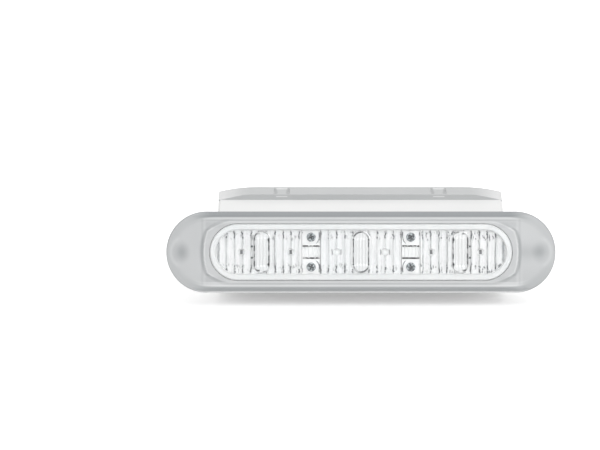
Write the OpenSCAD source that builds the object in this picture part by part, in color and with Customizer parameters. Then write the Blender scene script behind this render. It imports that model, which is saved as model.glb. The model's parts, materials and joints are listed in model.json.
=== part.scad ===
// Surface-mounted daytime running light: a silver cover with a clear lens on a white
// body that clips onto a screwed-down base. Millimetres. +X right, +Z up, front at -Y.
// The origin is the centre of the base's flat rear face.

/* [Cover] */
// Length of the cover
cover_len = 180; // [176:1:190]
// Height of the cover
cover_h = 37.6; // [36.8:0.2:40]
// Depth of the cover from its rear edge to its face
cover_depth = 9.4; // [9:0.1:11]
// Run of the sloped edge round the cover's face
cover_bevel = 2.2; // [1.4:0.1:2.6]
// Radius that softens both corners of that sloped edge
cover_round = 1; // [0.5:0.1:1.4]
// Width of the cover's rear rim
cover_rim = 2.2; // [1.8:0.1:2.4]
// Height of the raised island round the lens above the face
island_rise = 1.2; // [0.8:0.1:1.6]
// Run of the island's long sloped sides
island_slope = 1; // [0.6:0.1:1.2]
// Run of the island's sloped ends
island_end_slope = 2.4; // [1.6:0.1:3]
// Distance of the island's top from the crease where an end cap starts to fall
island_set = 1.7; // [1.4:0.1:2.4]
// Width of the island's collar past the lens tips
island_end = 2; // [1.6:0.1:3]
// Length of the chamfer across each corner of the island
island_cut_len = 7.6; // [6:0.2:9]
// Height of that chamfer
island_cut_h = 4.1; // [3:0.1:5]
// Length of each end cap, from the island's foot to its tip
cap_len = 16.6; // [15:0.1:20]
// Fall of each end cap from the island to its tip
cap_fall = 4.6; // [3:0.1:4.8]
// Thickness of the end cap's skin
cap_skin = 2; // [1.6:0.1:2.4]
// Width of the ledge round the hollow under each end cap
cap_ledge = 2; // [1.6:0.1:3]
// Distance of each fixing boss and its dimple from the tip
boss_inset = 7.1; // [6.6:0.1:9]
// Radius of the fixing bosses
boss_r = 3.4; // [3:0.1:3.8]
// Radius of the dimples over the bosses
dimple_r = 2.9; // [2:0.1:3.4]
// Depth of the dimples
dimple_depth = 0.4; // [0.2:0.05:0.5]

/* [Lens] */
// Distance of the lens from the cover's long edges
lens_inset = 5.9; // [5.5:0.1:6.4]
// Height of the lens front above the island
lens_proud = 0.4; // [0.2:0.1:1]
// Radius of the lens's front edge
lens_edge = 0.7; // [0.3:0.1:0.9]
// Thickness of the lens's front pane
lens_pane = 1.8; // [1.4:0.1:2.2]
// Width of the lens's solid rim
lens_rim = 2.55; // [2:0.05:3]
// Overhang of the lens flange behind the cover's face
lens_flange = 1.55; // [1.2:0.05:1.6]
// Thickness of that flange
lens_flange_t = 1.2; // [0.8:0.1:1.6]
// Thickness of the lens gasket
lens_gasket_t = 0.6; // [0.4:0.1:0.9]
// Thickness of the cover's wall over the gasket, from the island's top
island_wall = 2; // [1.6:0.1:2.2]

/* [Optics] */
// Gap between the reflectors and the lens's pane
reflector_gap = 0.6; // [0.5:0.1:1]
// Pitch of the flutes
flute_pitch = 3.72; // [3:0.01:4]
// Radius of the flutes
flute_r = 2.4; // [2.2:0.1:3]
// Distance of the inner lamp chips from the middle
led_x1 = 11.2; // [10.5:0.1:12]
// Distance of the next lamp chips from the bridges
led_in = 5.2; // [4.6:0.1:6]
// Distance of the outer lamp chips from the ends of the window
led_end = 11.95; // [11:0.05:13]
// Radius of the chip funnels at the front
funnel_r = 1.7; // [1.5:0.1:2.2]
// Radius of the chip funnels at the chip
funnel_throat = 1.3; // [1.2:0.05:1.4]
// Size of a lamp chip's package
led_size = 2.8; // [2.4:0.1:3]
// Height of that package
led_t = 0.7; // [0.5:0.1:0.9]
// Radius of the dome on the package
led_dome = 1.1; // [0.8:0.1:1.2]
// Shift of the side light bars outwards from between their two chips
bar_shift = 2.1; // [1.8:0.1:2.4]
// Width of the middle light bar
bar_mid_w = 9; // [8:0.1:9.6]
// Width of the side light bars
bar_side_w = 7.4; // [6.6:0.1:8]
// Distance of a light bar's ends from the window's edge
bar_inset = 0.8; // [0.75:0.05:2]
// Depth of the slot that a light bar sits in
bar_slot = 3; // [2.4:0.1:3.4]
// Height of a light bar above the reflector
bar_proud = 0.3; // [0:0.1:0.4]
// Gap round a light bar
bar_gap = 0.3; // [0.2:0.05:0.35]
// Pitch of the fine flutes down a light bar
bar_flute_pitch = 1.5; // [1.3:0.05:2]
// Radius of those flutes
bar_flute_r = 0.8; // [0.7:0.05:1]
// Depth of those flutes
bar_flute_depth = 0.25; // [0.15:0.05:0.3]

/* [Bridges] */
// Distance of the screwed bridges from the middle
bridge_x = 23; // [22.6:0.1:23.4]
// Width of the bridges
bridge_w = 8.4; // [8:0.1:8.8]
// Depth of the bridges below the reflectors' front
bridge_drop = 1; // [0.8:0.1:1.4]
// Height of the fluted window across the bridge
bridge_window = 5.1; // [4:0.1:6]
// Depth of that window
bridge_window_depth = 1; // [0.6:0.1:1.4]
// Width of the slots along the window's upper and lower edges
bridge_slot = 0.5; // [0.4:0.05:0.8]
// Depth of those slots
bridge_slot_depth = 2.6; // [2:0.1:3]
// Width of the wall beside that window
bridge_window_wall = 0.4; // [0.3:0.05:0.8]
// Radius of the four ribs across that window
bridge_rib_r = 0.5; // [0.4:0.05:0.6]
// Distance of each bridge screw from the bridge's end
bridge_screw_inset = 3.15; // [3:0.05:3.6]
// Radius of the round boss under a bridge screw
bridge_boss_r = 2.9; // [2.5:0.1:3]
// Height of that boss above the bridge
bridge_boss_rise = 0.4; // [0.2:0.1:0.5]

/* [Screws] */
// Radius of a bridge screw's head
bridge_head_r = 2.1; // [1.9:0.1:2.3]
// Height of that head
bridge_head_t = 0.9; // [0.6:0.1:1]
// Radius of a bridge screw's shank
bridge_shank_r = 1.05; // [0.9:0.05:1.15]
// Radius of a cover screw's head
cover_head_r = 2.6; // [2.2:0.1:3]
// Height of that head
cover_head_t = 1.4; // [1:0.1:1.8]
// Radius of a cover screw's shank
cover_shank_r = 1.2; // [1:0.05:1.4]
// Skin left in front of a screw's hole
screw_skin = 0.8; // [0.6:0.1:1.2]
// Gap between a screw's tip and the end of its hole
screw_tip_gap = 0.4; // [0.2:0.1:1]
// Radius of a driver board screw's head
driver_head_r = 2; // [1.8:0.1:2.4]
// Height of that head
driver_head_t = 1.2; // [0.8:0.1:1.6]
// Radius of a driver board screw's shank
driver_shank_r = 0.85; // [0.8:0.05:1]

/* [Light unit] */
// Thickness of the circuit board that carries the lamp chips
led_board_t = 1.4; // [1:0.1:1.6]
// Thickness of the thermal pad
pad_t = 0.4; // [0.3:0.1:0.8]
// Distance of the heat sink's ends from the body's outside
sink_inset = 6.3; // [5:0.1:10]
// Distance of the heat sink's long edges from the window's edge
sink_edge = 1.65; // [1.4:0.05:2]
// Thickness of the heat sink's plate
sink_t = 2.6; // [2.2:0.1:3]
// Length of the heat sink's fins
fin_len = 7.8; // [6:0.2:9]
// Thickness of the fins
fin_t = 1.2; // [0.8:0.1:1.4]
// Pitch of the fins
fin_pitch = 4; // [3.6:0.1:4]

/* [Body] */
// Distance of the body's ends inside the lens tips
body_inset = 3.4; // [3:0.1:6]
// Depth from the base's rear face to the centre of the cover's rear edge
face_reach = 41; // [40:0.5:44]
// Lean of the face from upright, in degrees
rake = 10; // [6:0.5:11]
// Depth of the body's top below the cover's edge where they meet
body_seat = 1.6; // [1.2:0.1:1.8]
// Rise of the body's top from the cover to the base
body_flare = 2.7; // [2.2:0.1:3.2]
// Thickness of the body's walls
body_wall = 2; // [1.6:0.1:2.2]
// Chamfer along the body's long edges
body_chamfer = 1; // [0.6:0.1:1.6]
// Thickness of the flange inside the cover
flange_t = 1.8; // [1.4:0.1:2.2]
// Thickness of the cover gasket
cover_gasket_t = 0.8; // [0.6:0.1:1]
// Width of the cover gasket
cover_gasket_w = 1.3; // [1:0.1:1.6]
// Inset of the spigot that enters the base
spigot_step = 2.3; // [2:0.1:2.6]

/* [Base] */
// Depth of the base
base_depth = 14; // [13:0.5:16]
// Thickness of the base's rear plate
base_plate = 3; // [2.5:0.1:3.6]
// Rise of the base above the body at its front
base_rise = 2.5; // [2.2:0.05:2.8]
// Slope of the base's top and bottom, in degrees
base_slope = 5; // [3:0.5:6]
// Length of the curved shoulder at each end of the base
shoulder_len = 18; // [16:0.5:22]
// Fall of that shoulder
shoulder_fall = 2.2; // [1.4:0.05:2.2]
// Gap between the base's bottom and the spigot's end
screw_room = 3.5; // [3:0.1:4.5]
// Distance of the two fixing holes from the body's ends
fixing_inset = 14.3; // [10:0.1:16]
// Radius of the fixing holes
fixing_r = 2.25; // [2:0.05:2.75]
// Radius of the hole that lets the cable through the base
cable_hole_r = 7; // [6:0.1:9]

/* [Clips] */
// Distance of the clips from the body's ends
clip_inset = 29.6; // [27:0.1:31]
// Width of the clips
clip_w = 6.8; // [6:0.1:8]
// Depth of the hollow across a clip's top
clip_hollow = 0.6; // [0.3:0.1:1]
// Width of the ribs at a clip's two ends
clip_rib = 1.1; // [0.8:0.1:1.5]
// Length of the nib under a clip
clip_nib = 2; // [1.5:0.1:3]
// Depth of that nib
nib_depth = 0.7; // [0.5:0.1:1]

/* [Driver] */
// Distance of the driver board's ends from the body's outside
driver_inset = 20.3; // [15:0.1:22]
// Clearance above and below the driver board
driver_edge = 2.6; // [1.6:0.1:3]
// Thickness of the driver board
driver_t = 1.6; // [1.2:0.1:2]
// Gap between its tallest component and the heat sink's fins
driver_gap = 4.3; // [3:0.1:5]
// Radius of the posts that carry the board
post_r = 2.4; // [2.1:0.1:2.8]
// Thickness of the solid foot of a post, below its screw hole
post_foot = 1; // [0.6:0.1:2]
// Distance of a post from the board's edges
post_inset = 3.6; // [3:0.1:4.5]
// Radius of the inductor
inductor_r = 5; // [4:0.1:5.6]
// Height of the inductor
inductor_h = 6.4; // [5:0.2:7]
// Radius of the capacitors
capacitor_r = 4; // [3:0.1:4.4]
// Height of the capacitors
capacitor_h = 7; // [5:0.2:7.4]
// Length of the driver chip
chip_len = 6; // [5:0.1:7]
// Width of the driver chip
chip_w = 5; // [4:0.1:6]
// Height of the driver chip
chip_h = 1.6; // [1:0.1:2]
// Length of the board connector
socket_len = 12; // [10:0.1:13]
// Width of the board connector
socket_w = 8; // [6:0.1:9]
// Height of the board connector
socket_h = 5.5; // [4:0.1:6.5]
// Wall of the board connector
socket_wall = 1; // [0.8:0.1:1.3]
// Room kept at each end of the driver board for its posts
post_room = 8; // [6:0.1:9]

/* [Cable entry] */
// Radius of the bore in the cable grommet
cable_r = 2.5; // [2:0.05:3]
// Radius of the grommet's neck
grommet_r = 4; // [3.8:0.1:5]
// Radius of the grommet's collars
grommet_collar_r = 5.6; // [5.4:0.1:6.4]
// Thickness of the grommet's collars
grommet_collar_t = 1.2; // [0.8:0.1:1.5]
// Length of the grommet's nose
grommet_nose = 2; // [1.5:0.1:2.2]
// Radius of the breather vent
vent_r = 4; // [3:0.1:5]
// Thickness of the breather vent's cap
vent_t = 1; // [0.8:0.1:1.4]

/* [Fits] */
// Clearance between the lens and the cover
lens_fit = 0.3; // [0.2:0.05:0.4]
// Clearance between the body and the cover, and between the body and the base
shell_fit = 0.2; // [0.15:0.05:0.3]
// Clearance round the light unit's pieces
unit_fit = 0.2; // [0.1:0.05:0.25]
// Clearance round the clips
clip_fit = 0.2; // [0.1:0.05:0.3]
// Clearance of a screw in a plain hole
screw_fit = 0.25; // [0.15:0.05:0.3]
// Clearance of a screw in the hole that it bites
bite_fit = 0.05; // [0.03:0.01:0.08]

/* [Hidden] */
LED_NODES = ["led_1", "led_2", "led_3", "led_4", "led_5", "led_6"];
FRONT_NODES = ["cover", "cover_gasket", "cover_screws", "lens", "lens_gasket", "inner_frame"];
OPTIC_NODES = [
    "reflector_left", "reflector_middle", "reflector_right",
    "light_bar_left", "light_bar_middle", "light_bar_right",
    "bridge_left", "bridge_right", "bridge_screws"
];
UNIT_NODES = ["led_board", "thermal_pad", "heat_sink"];
REAR_NODES = [
    "body", "base", "clip_upper_left", "clip_upper_right", "clip_lower_left", "clip_lower_right",
    "cable_grommet", "breather_vent"
];
DRIVER_NODES = [
    "driver_board", "driver_screws", "inductor", "capacitor_1", "capacitor_2",
    "driver_chip", "board_connector"
];

$fn = 64;
eps = 0.01;
far = 60;

// Cover, seen in the leaning face frame, where f counts forward from its rear edge
cover_r = cover_h / 2;
cover_half = cover_len / 2;
cap_centre = cover_half - cover_r;
side_h = cover_depth - cover_bevel;
island_top = cover_depth + island_rise;
crease_x = cover_half - cap_len;
island_half = crease_x - island_set;
lens_half = island_half - island_end;
lens_r = cover_r - lens_inset;
lens_front = island_top + lens_proud;
island_half_h = lens_r + island_slope;
cap_angle = atan2(cap_fall, cap_len);
boss_x = cover_half - boss_inset;
cap_at_boss = cover_depth - (boss_x - crease_x) * tan(cap_angle);
dimple_ball = (dimple_r * dimple_r + dimple_depth * dimple_depth) / (2 * dimple_depth);
dimple_floor = cap_at_boss - dimple_depth + dimple_ball * (cos(cap_angle) - 1);
boss_hole_top = cap_at_boss - dimple_depth - screw_skin;

// Light unit, stacked forward from the flange
flange_half = cover_half - cover_rim - shell_fit;
flange_r = cover_r - cover_rim - shell_fit;
flange_back = -2 * eps;
pocket_depth = flange_t + cover_gasket_t;
gasket_back = island_top - island_wall - lens_gasket_t;
lens_back = gasket_back - lens_flange_t;
frame_half = lens_half + lens_flange - unit_fit;
frame_r = lens_r + lens_flange - unit_fit;
window_half = lens_half - lens_rim;
window_r = lens_r - lens_rim;
reflector_half = window_half - 1.5 * unit_fit;
reflector_r = window_r - 1.5 * unit_fit;
board_front = flange_t + led_board_t;
reflector_front = lens_front - lens_pane - reflector_gap;
reflector_depth = reflector_front - board_front;
led_pocket_r = led_size / sqrt(2) + unit_fit;
flute_depth = flute_r - sqrt(flute_r * flute_r - flute_pitch * flute_pitch / 4);
bridge_in = bridge_x - bridge_w / 2;
bridge_out = bridge_x + bridge_w / 2;
bridge_front = reflector_front - bridge_drop;
bridge_top = bridge_front + bridge_boss_rise;
bridge_screw_z = reflector_r - bridge_screw_inset;
led_x2 = bridge_out + led_in;
led_x3 = window_half - led_end;
led_places = [-led_x3, -led_x2, -led_x1, led_x1, led_x2, led_x3];
bar_x = (led_x2 + led_x3) / 2 + bar_shift;
bar_h = 2 * (window_r - bar_inset);
body_half = lens_half - body_inset;
sink_len = 2 * (body_half - sink_inset);
sink_h = 2 * (window_r - sink_edge);
sink_front = flange_t - pad_t;
sink_back = sink_front - sink_t;
window_len = sink_len + 4 * unit_fit;
window_h = sink_h + 4 * unit_fit;

// Body and base, in the part's own frame, where f counts forward from the rear face
body_front_z = cover_r - body_seat;
body_rear_z = body_front_z + body_flare;
spigot_half = body_half - spigot_step;
spigot_z = body_rear_z - spigot_step;
spigot_back = base_plate + screw_room;
inner_back = spigot_back + body_wall;
base_front_z = body_rear_z + base_rise;
shoulder_x = body_half - shoulder_len;
fixing_x = body_half - fixing_inset;
clip_x = body_half - clip_inset;
shoulder_r = (shoulder_len * shoulder_len + shoulder_fall * shoulder_fall) / (2 * shoulder_fall);
body_slope = atan2(
    body_rear_z - body_front_z * cos(rake),
    face_reach - body_front_z * sin(rake) - base_depth
);
driver_len = 2 * (body_half - driver_inset);
driver_h = 2 * (spigot_z - body_wall - driver_edge);
fin_tip = face_reach + (sink_back - fin_len) * cos(rake) - capacitor_r * sin(rake);
driver_front = fin_tip - driver_gap - max(capacitor_h, inductor_h);
post_top = driver_front - driver_t;
post_x = driver_len / 2 - post_inset;
post_z = driver_h / 2 - post_inset;
vent_x = -fixing_x / 2;

// Places of the five components, spread evenly between the posts
component_pitch = (driver_len - 2 * post_room) / 5;
function component_x(i) = (i - 2) * component_pitch;

// A point given in the face frame, as height and forward distance in the part's own frame
function on_side(z, f) = [
    z * cos(rake) + f * sin(rake),
    face_reach + f * cos(rake) - z * sin(rake)
];

// The base's upper surface at a forward distance
function base_z(f) = base_front_z + (base_depth - f) * tan(base_slope);

module on_face() {
    translate([0, -face_reach, 0]) rotate([-rake, 0, 0]) children();
}

// Extrudes a side outline, drawn as height and forward distance, along X
module along_x(x0, x1) {
    rotate([180, 0, 0]) rotate([0, 90, 0]) translate([0, 0, x0])
        linear_extrude(height = x1 - x0) children();
}

// Extrudes a front outline between two forward distances
module along_f(f0, f1) {
    translate([0, -f0, 0]) rotate([90, 0, 0]) linear_extrude(height = f1 - f0) children();
}

module round_ended(half, r) {
    square([2 * (half - r), 2 * r], center = true);
    for (side = [-1, 1]) translate([side * (half - r), 0]) circle(r);
}

module slab(f0, f1, half, r) {
    along_f(f0, f1) round_ended(half, r);
}

module ring(f0, f1, half, r, width) {
    along_f(f0, f1) difference() {
        round_ended(half, r);
        round_ended(half - width, r - width);
    }
}

module disc(x, z, f0, f1, r) {
    translate([x, -f0, z]) rotate([90, 0, 0]) cylinder(r = r, h = f1 - f0);
}

module block(x0, x1, z0, z1, f0, f1) {
    translate([x0, -f1, z0]) cube([x1 - x0, f1 - f0, z1 - z0]);
}

// A cross recess in a screw's head
module cross_slot(x, z, f0, f1, reach) {
    w = reach / 5;
    block(x - reach, x + reach, z - w, z + w, f0, f1);
    block(x - w, x + w, z - reach, z + reach, f0, f1);
}

// The space past a place on one side: everything further out along X
module beyond(side) {
    translate([side > 0 ? 0 : -far, -far / 2, -far / 2]) cube([far, far, far]);
}

// A round-ended solid that follows one edge outline all the way round
module edged(centre) {
    along_x(-centre, centre) {
        children();
        mirror([1, 0]) children();
    }
    for (side = [-1, 1]) translate([side * centre, 0, 0]) rotate([90, 0, 0])
        rotate_extrude($fn = 96) children();
}

// Half of the cover's section: rear edge, side, softened slope and face
module cover_edge() {
    t = cover_round * tan(22.5);
    lean = t * cos(45);
    polygon([
        [0, 0], [cover_r, 0], [cover_r, side_h - t], [cover_r - lean, side_h + lean],
        [cover_r - cover_bevel + lean, cover_depth - lean],
        [cover_r - cover_bevel - t, cover_depth], [0, cover_depth]
    ]);
    translate([cover_r - cover_round, side_h - t]) circle(cover_round);
    translate([cover_r - cover_bevel - t, cover_depth - cover_round]) circle(cover_round);
}

// Half of the lens's section, with a rounded front edge
module lens_edge_outline() {
    depth = lens_front - gasket_back;
    square([lens_r, depth - lens_edge]);
    square([lens_r - lens_edge, depth]);
    translate([lens_r - lens_edge, depth - lens_edge]) circle(lens_edge);
}

// All that lies in front of the sloped plane of an end cap, at a depth below it
module above_cap(side, depth) {
    translate([side * crease_x, -(cover_depth - depth / cos(cap_angle)), 0])
        rotate([0, 0, side * cap_angle])
            translate([side > 0 ? 0 : -far, -far, -far / 2]) cube([far, far, far]);
}

// The island's long section, cut to sloped ends and chamfered corners
module island() {
    foot = island_half_h + island_slope;
    end_angle = atan2(island_end_slope, island_rise + cap_fall / 4);
    cut_angle = atan2(island_cut_len, island_cut_h);
    difference() {
        along_x(-crease_x - 1, crease_x + 1) polygon([
            [-foot, cover_depth - 1], [foot, cover_depth - 1], [foot, cover_depth],
            [island_half_h, island_top], [-island_half_h, island_top], [-foot, cover_depth]
        ]);
        for (side = [-1, 1]) {
            translate([side * island_half, -island_top, 0])
                rotate([0, 0, side * (end_angle - 90)]) beyond(side);
            for (up = [-1, 1])
                translate([side * island_half, -island_top, up * (island_half_h - island_cut_h)])
                    rotate([0, side * up * (cut_angle - 90), 0])
                        rotate([0, 0, side * (end_angle - 90)]) beyond(side);
        }
    }
}

// The hollow under each end cap, round the fixing boss
module cap_hollow(side) {
    difference() {
        intersection() {
            disc(side * cap_centre, 0, 0, cover_depth, flange_r - cap_ledge);
            translate([side * (island_half + island_end_slope), 0, 0]) beyond(side);
        }
        above_cap(side, cap_skin);
        disc(side * boss_x, 0, 0, cover_depth, boss_r);
    }
}

module cover() {
    color("#c6c9ca") on_face() difference() {
        union() {
            difference() {
                edged(cap_centre) cover_edge();
                for (side = [-1, 1]) above_cap(side, 0);
            }
            island();
        }
        difference() {
            slab(-1, pocket_depth, flange_half + shell_fit, flange_r + shell_fit);
            for (side = [-1, 1]) disc(side * boss_x, 0, flange_t, cover_depth, boss_r);
        }
        slab(0, island_top - island_wall, frame_half + 2 * unit_fit, frame_r + 2 * unit_fit);
        slab(0, far, lens_half + lens_fit, lens_r + lens_fit);
        for (side = [-1, 1]) {
            cap_hollow(side);
            disc(side * boss_x, 0, -1, boss_hole_top, cover_shank_r + bite_fit);
            translate([side * boss_x, -dimple_floor - dimple_ball, 0]) sphere(dimple_ball, $fn = 96);
        }
    }
}

module cover_gasket() {
    color("#26282a") on_face()
        ring(flange_t, pocket_depth, flange_half, flange_r, cover_gasket_w);
}

module cover_screws() {
    color("#9a9da0") on_face() for (side = [-1, 1]) {
        difference() {
            disc(side * boss_x, 0, flange_back - cover_head_t, flange_back, cover_head_r);
            cross_slot(side * boss_x, 0, -far, -cover_head_t / 2, cover_head_r * 0.6);
        }
        disc(side * boss_x, 0, flange_back - eps, boss_hole_top - screw_tip_gap, cover_shank_r);
    }
}

module lens() {
    color("#eef3f5", 0.4) on_face() difference() {
        union() {
            translate([0, -gasket_back, 0]) edged(lens_half - lens_r) lens_edge_outline();
            slab(lens_back, gasket_back, lens_half + lens_flange, lens_r + lens_flange);
        }
        slab(0, lens_front - lens_pane, window_half, window_r);
    }
}

module lens_gasket() {
    color("#303336") on_face()
        ring(gasket_back, island_top - island_wall, frame_half, frame_r,
            frame_r - lens_r - lens_fit - unit_fit / 2);
}

// The white ring behind the lens rim, which clamps the lens and holds the optics
module inner_frame() {
    color("#f2f3f2") on_face() difference() {
        slab(flange_t, lens_back, frame_half, frame_r);
        slab(0, far, window_half, window_r);
    }
}

// The fluted front of a reflector between two places, as a plan outline drawn in x and f
module fluted_plan(x0, x1) {
    count = floor((x1 - x0) / flute_pitch);
    start = (x0 + x1) / 2 - count * flute_pitch / 2;
    difference() {
        translate([x0, board_front]) square([x1 - x0, reflector_depth]);
        for (i = [0 : count - 1])
            translate([start + (i + 0.5) * flute_pitch, reflector_front + flute_r - flute_depth])
                circle(flute_r, $fn = 48);
    }
}

module fluted_block(x0, x1) {
    intersection() {
        mirror([0, 1, 0]) translate([0, 0, -reflector_r])
            linear_extrude(height = 2 * reflector_r) fluted_plan(x0, x1);
        slab(board_front, reflector_front + 1, reflector_half, reflector_r);
    }
}

module bar_outline(x, w, grow) {
    translate([x, 0]) rotate(90) round_ended(bar_h / 2 + grow, w / 2 + grow);
}

// A fluted reflector with a funnel over each chip and a slot for its light bar
module reflector(x0, x1, chips, bar, bar_w) {
    color("#dfe3e5") on_face() difference() {
        fluted_block(x0, x1);
        for (x = chips) {
            translate([x, -board_front - led_t - led_dome, 0]) rotate([90, 0, 0])
                cylinder(r1 = funnel_throat, r2 = funnel_r, h = reflector_depth - led_t - led_dome + eps);
            disc(x, 0, board_front - 1, board_front + led_t + led_dome + eps, led_pocket_r);
        }
        along_f(reflector_front - bar_slot, far) bar_outline(bar, bar_w, bar_gap);
    }
}

module reflector_left() {
    reflector(-reflector_half, -bridge_out - unit_fit, [-led_x3, -led_x2], -bar_x, bar_side_w);
}

module reflector_middle() {
    reflector(-bridge_in + unit_fit, bridge_in - unit_fit, [-led_x1, led_x1], 0, bar_mid_w);
}

module reflector_right() {
    reflector(bridge_out + unit_fit, reflector_half, [led_x2, led_x3], bar_x, bar_side_w);
}

// A clear upright light bar with fine flutes down its front
module light_bar(x, w) {
    count = floor(w / bar_flute_pitch) - 1;
    front = reflector_front + bar_proud;
    color("#f4f7f8", 0.7) on_face() difference() {
        along_f(reflector_front - bar_slot, front) bar_outline(x, w, 0);
        for (i = [0 : count - 1])
            translate([
                x + (i - (count - 1) / 2) * bar_flute_pitch,
                bar_flute_depth - bar_flute_r - front, 0
            ])
                cylinder(r = bar_flute_r, h = bar_h - w * 0.7, center = true, $fn = 32);
    }
}

module light_bar_left() {
    light_bar(-bar_x, bar_side_w);
}

module light_bar_middle() {
    light_bar(0, bar_mid_w);
}

module light_bar_right() {
    light_bar(bar_x, bar_side_w);
}

// The screwed bridge between two reflectors, with a sunk and ribbed window
module bridge(x) {
    top = bridge_front;
    floor_f = top - bridge_window_depth;
    wall = bridge_w / 2 - bridge_window_wall;
    ribs = 4;
    color("#eceeee") on_face() difference() {
        union() {
            block(x - bridge_w / 2, x + bridge_w / 2, -reflector_r, reflector_r, board_front, top);
            for (up = [-1, 1]) disc(x, up * bridge_screw_z, board_front, bridge_top, bridge_boss_r);
        }
        difference() {
            block(x - wall, x + wall, -bridge_window / 2, bridge_window / 2, floor_f, top + 1);
            for (i = [1 : ribs])
                translate([x + (i / (ribs + 1) - 0.5) * bridge_w, bridge_rib_r / 5 - floor_f, 0])
                    cylinder(r = bridge_rib_r, h = bridge_window + 1, center = true, $fn = 24);
        }
        for (up = [-1, 1]) {
            z = up * (bridge_window + bridge_slot) / 2;
            block(x - wall, x + wall, z - bridge_slot / 2, z + bridge_slot / 2, top - bridge_slot_depth, top + 1);
            disc(x, up * bridge_screw_z, 0, far, bridge_shank_r + screw_fit);
        }
    }
}

module bridge_left() {
    bridge(-bridge_x);
}

module bridge_right() {
    bridge(bridge_x);
}

module bridge_screws() {
    color("#6f7377") on_face() for (side = [-1, 1], up = [-1, 1]) {
        x = side * bridge_x;
        z = up * bridge_screw_z;
        top = bridge_top + bridge_head_t;
        difference() {
            disc(x, z, bridge_top, top, bridge_head_r);
            cross_slot(x, z, top - bridge_head_t / 2, top + 1, bridge_head_r * 0.62);
        }
        disc(x, z, sink_back + screw_tip_gap / 2, bridge_top + eps, bridge_shank_r);
    }
}

module led(i) {
    color("#f0e6a0") on_face() {
        x = led_places[i];
        half = led_size / 2;
        top = board_front + led_t;
        block(x - half, x + half, -half, half, board_front, top);
        intersection() {
            translate([x, -top, 0]) sphere(led_dome);
            block(x - half, x + half, -half, half, top - eps, far);
        }
    }
}

module led_board() {
    color("#f5f5f2") on_face() difference() {
        slab(flange_t, board_front, window_half - unit_fit, window_r - unit_fit);
        for (side = [-1, 1], up = [-1, 1])
            disc(side * bridge_x, up * bridge_screw_z, 0, far, bridge_shank_r + screw_fit);
    }
}

module thermal_pad() {
    color("#8fa0b0") on_face() difference() {
        block(-sink_len / 2, sink_len / 2, -sink_h / 2, sink_h / 2, sink_front, flange_t);
        for (side = [-1, 1], up = [-1, 1])
            disc(side * bridge_x, up * bridge_screw_z, 0, far, bridge_shank_r + screw_fit);
    }
}

module heat_sink() {
    fins = floor((sink_h - fin_t) / fin_pitch) + 1;
    color("#b4b8bb") on_face() difference() {
        union() {
            block(-sink_len / 2, sink_len / 2, -sink_h / 2, sink_h / 2, sink_back, sink_front);
            for (i = [0 : fins - 1]) {
                z = (i - (fins - 1) / 2) * fin_pitch;
                block(-sink_len / 2, sink_len / 2, z - fin_t / 2, z + fin_t / 2,
                    sink_back - fin_len, sink_back + eps);
            }
        }
        for (side = [-1, 1], up = [-1, 1])
            disc(side * bridge_x, up * bridge_screw_z, -far, far, bridge_shank_r + bite_fit);
    }
}

// The chamfer cutters along the body's four long edges
module body_edge_cuts() {
    w = body_chamfer * sqrt(2);
    for (side = [-1, 1], up = [-1, 1])
        translate([side * body_half, -base_depth, up * body_rear_z])
            rotate([up * body_slope, 0, 0]) rotate([0, 45, 0]) cube([w, 3 * far, w], center = true);
}

module body() {
    color("#f1f2f1") difference() {
        union() {
            difference() {
                along_x(-body_half, body_half) polygon([
                    on_side(body_front_z, -eps), on_side(-body_front_z, -eps),
                    [-body_rear_z, base_depth], [body_rear_z, base_depth]
                ]);
                body_edge_cuts();
            }
            block(-spigot_half, spigot_half, -spigot_z, spigot_z, spigot_back, base_depth + eps);
            on_face() slab(flange_back, flange_t, flange_half, flange_r);
        }
        difference() {
            along_x(-spigot_half + body_wall, spigot_half - body_wall) polygon([
                on_side(body_front_z - body_wall, 0), on_side(body_wall - body_front_z, 0),
                [body_wall - spigot_z, base_depth], [body_wall - spigot_z, inner_back],
                [spigot_z - body_wall, inner_back], [spigot_z - body_wall, base_depth]
            ]);
            for (side = [-1, 1], up = [-1, 1])
                disc(side * post_x, up * post_z, spigot_back, post_top, post_r);
        }
        for (side = [-1, 1], up = [-1, 1])
            disc(side * post_x, up * post_z, inner_back + post_foot, far, driver_shank_r + bite_fit);
        on_face() {
            block(-window_len / 2, window_len / 2, -window_h / 2, window_h / 2, -1, flange_t + 1);
            for (side = [-1, 1]) disc(side * boss_x, 0, -1, flange_t + 1, cover_shank_r + screw_fit);
        }
        disc(0, 0, 0, inner_back + 1, grommet_r);
        disc(vent_x, 0, 0, inner_back + 1, vent_r / 2);
        for (side = [-1, 1], up = [-1, 1]) nib_pocket(side, up, clip_fit);
    }
}

// The nib of a clip, or with a clearance the pocket that it drops into
module nib_pocket(side, up, grow) {
    x = side * clip_x;
    middle = (spigot_back + base_depth) / 2;
    z0 = spigot_z - nib_depth - grow;
    z1 = spigot_z + eps + grow;
    block(x - clip_w / 3 - grow, x + clip_w / 3 + grow, up > 0 ? z0 : -z1, up > 0 ? z1 : -z0,
        middle - clip_nib / 2 - grow, middle + clip_nib / 2 + grow);
}

// The base's front outline: flat in the middle, with a curved shoulder at each end
module base_outline() {
    square([2 * shoulder_x, 2 * base_front_z], center = true);
    intersection() {
        square([2 * body_half, 2 * base_front_z], center = true);
        for (side = [-1, 1])
            translate([side * shoulder_x, base_front_z - shoulder_r]) circle(shoulder_r, $fn = 360);
    }
}

module base_half() {
    intersection() {
        translate([0, -base_depth, 0]) rotate([base_slope, 0, 0])
            along_f(-far, far) base_outline();
        block(-far * 2, far * 2, 0, far, 0, base_depth);
        for (side = [-1, 1]) body_corner_keep(side);
    }
}

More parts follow.
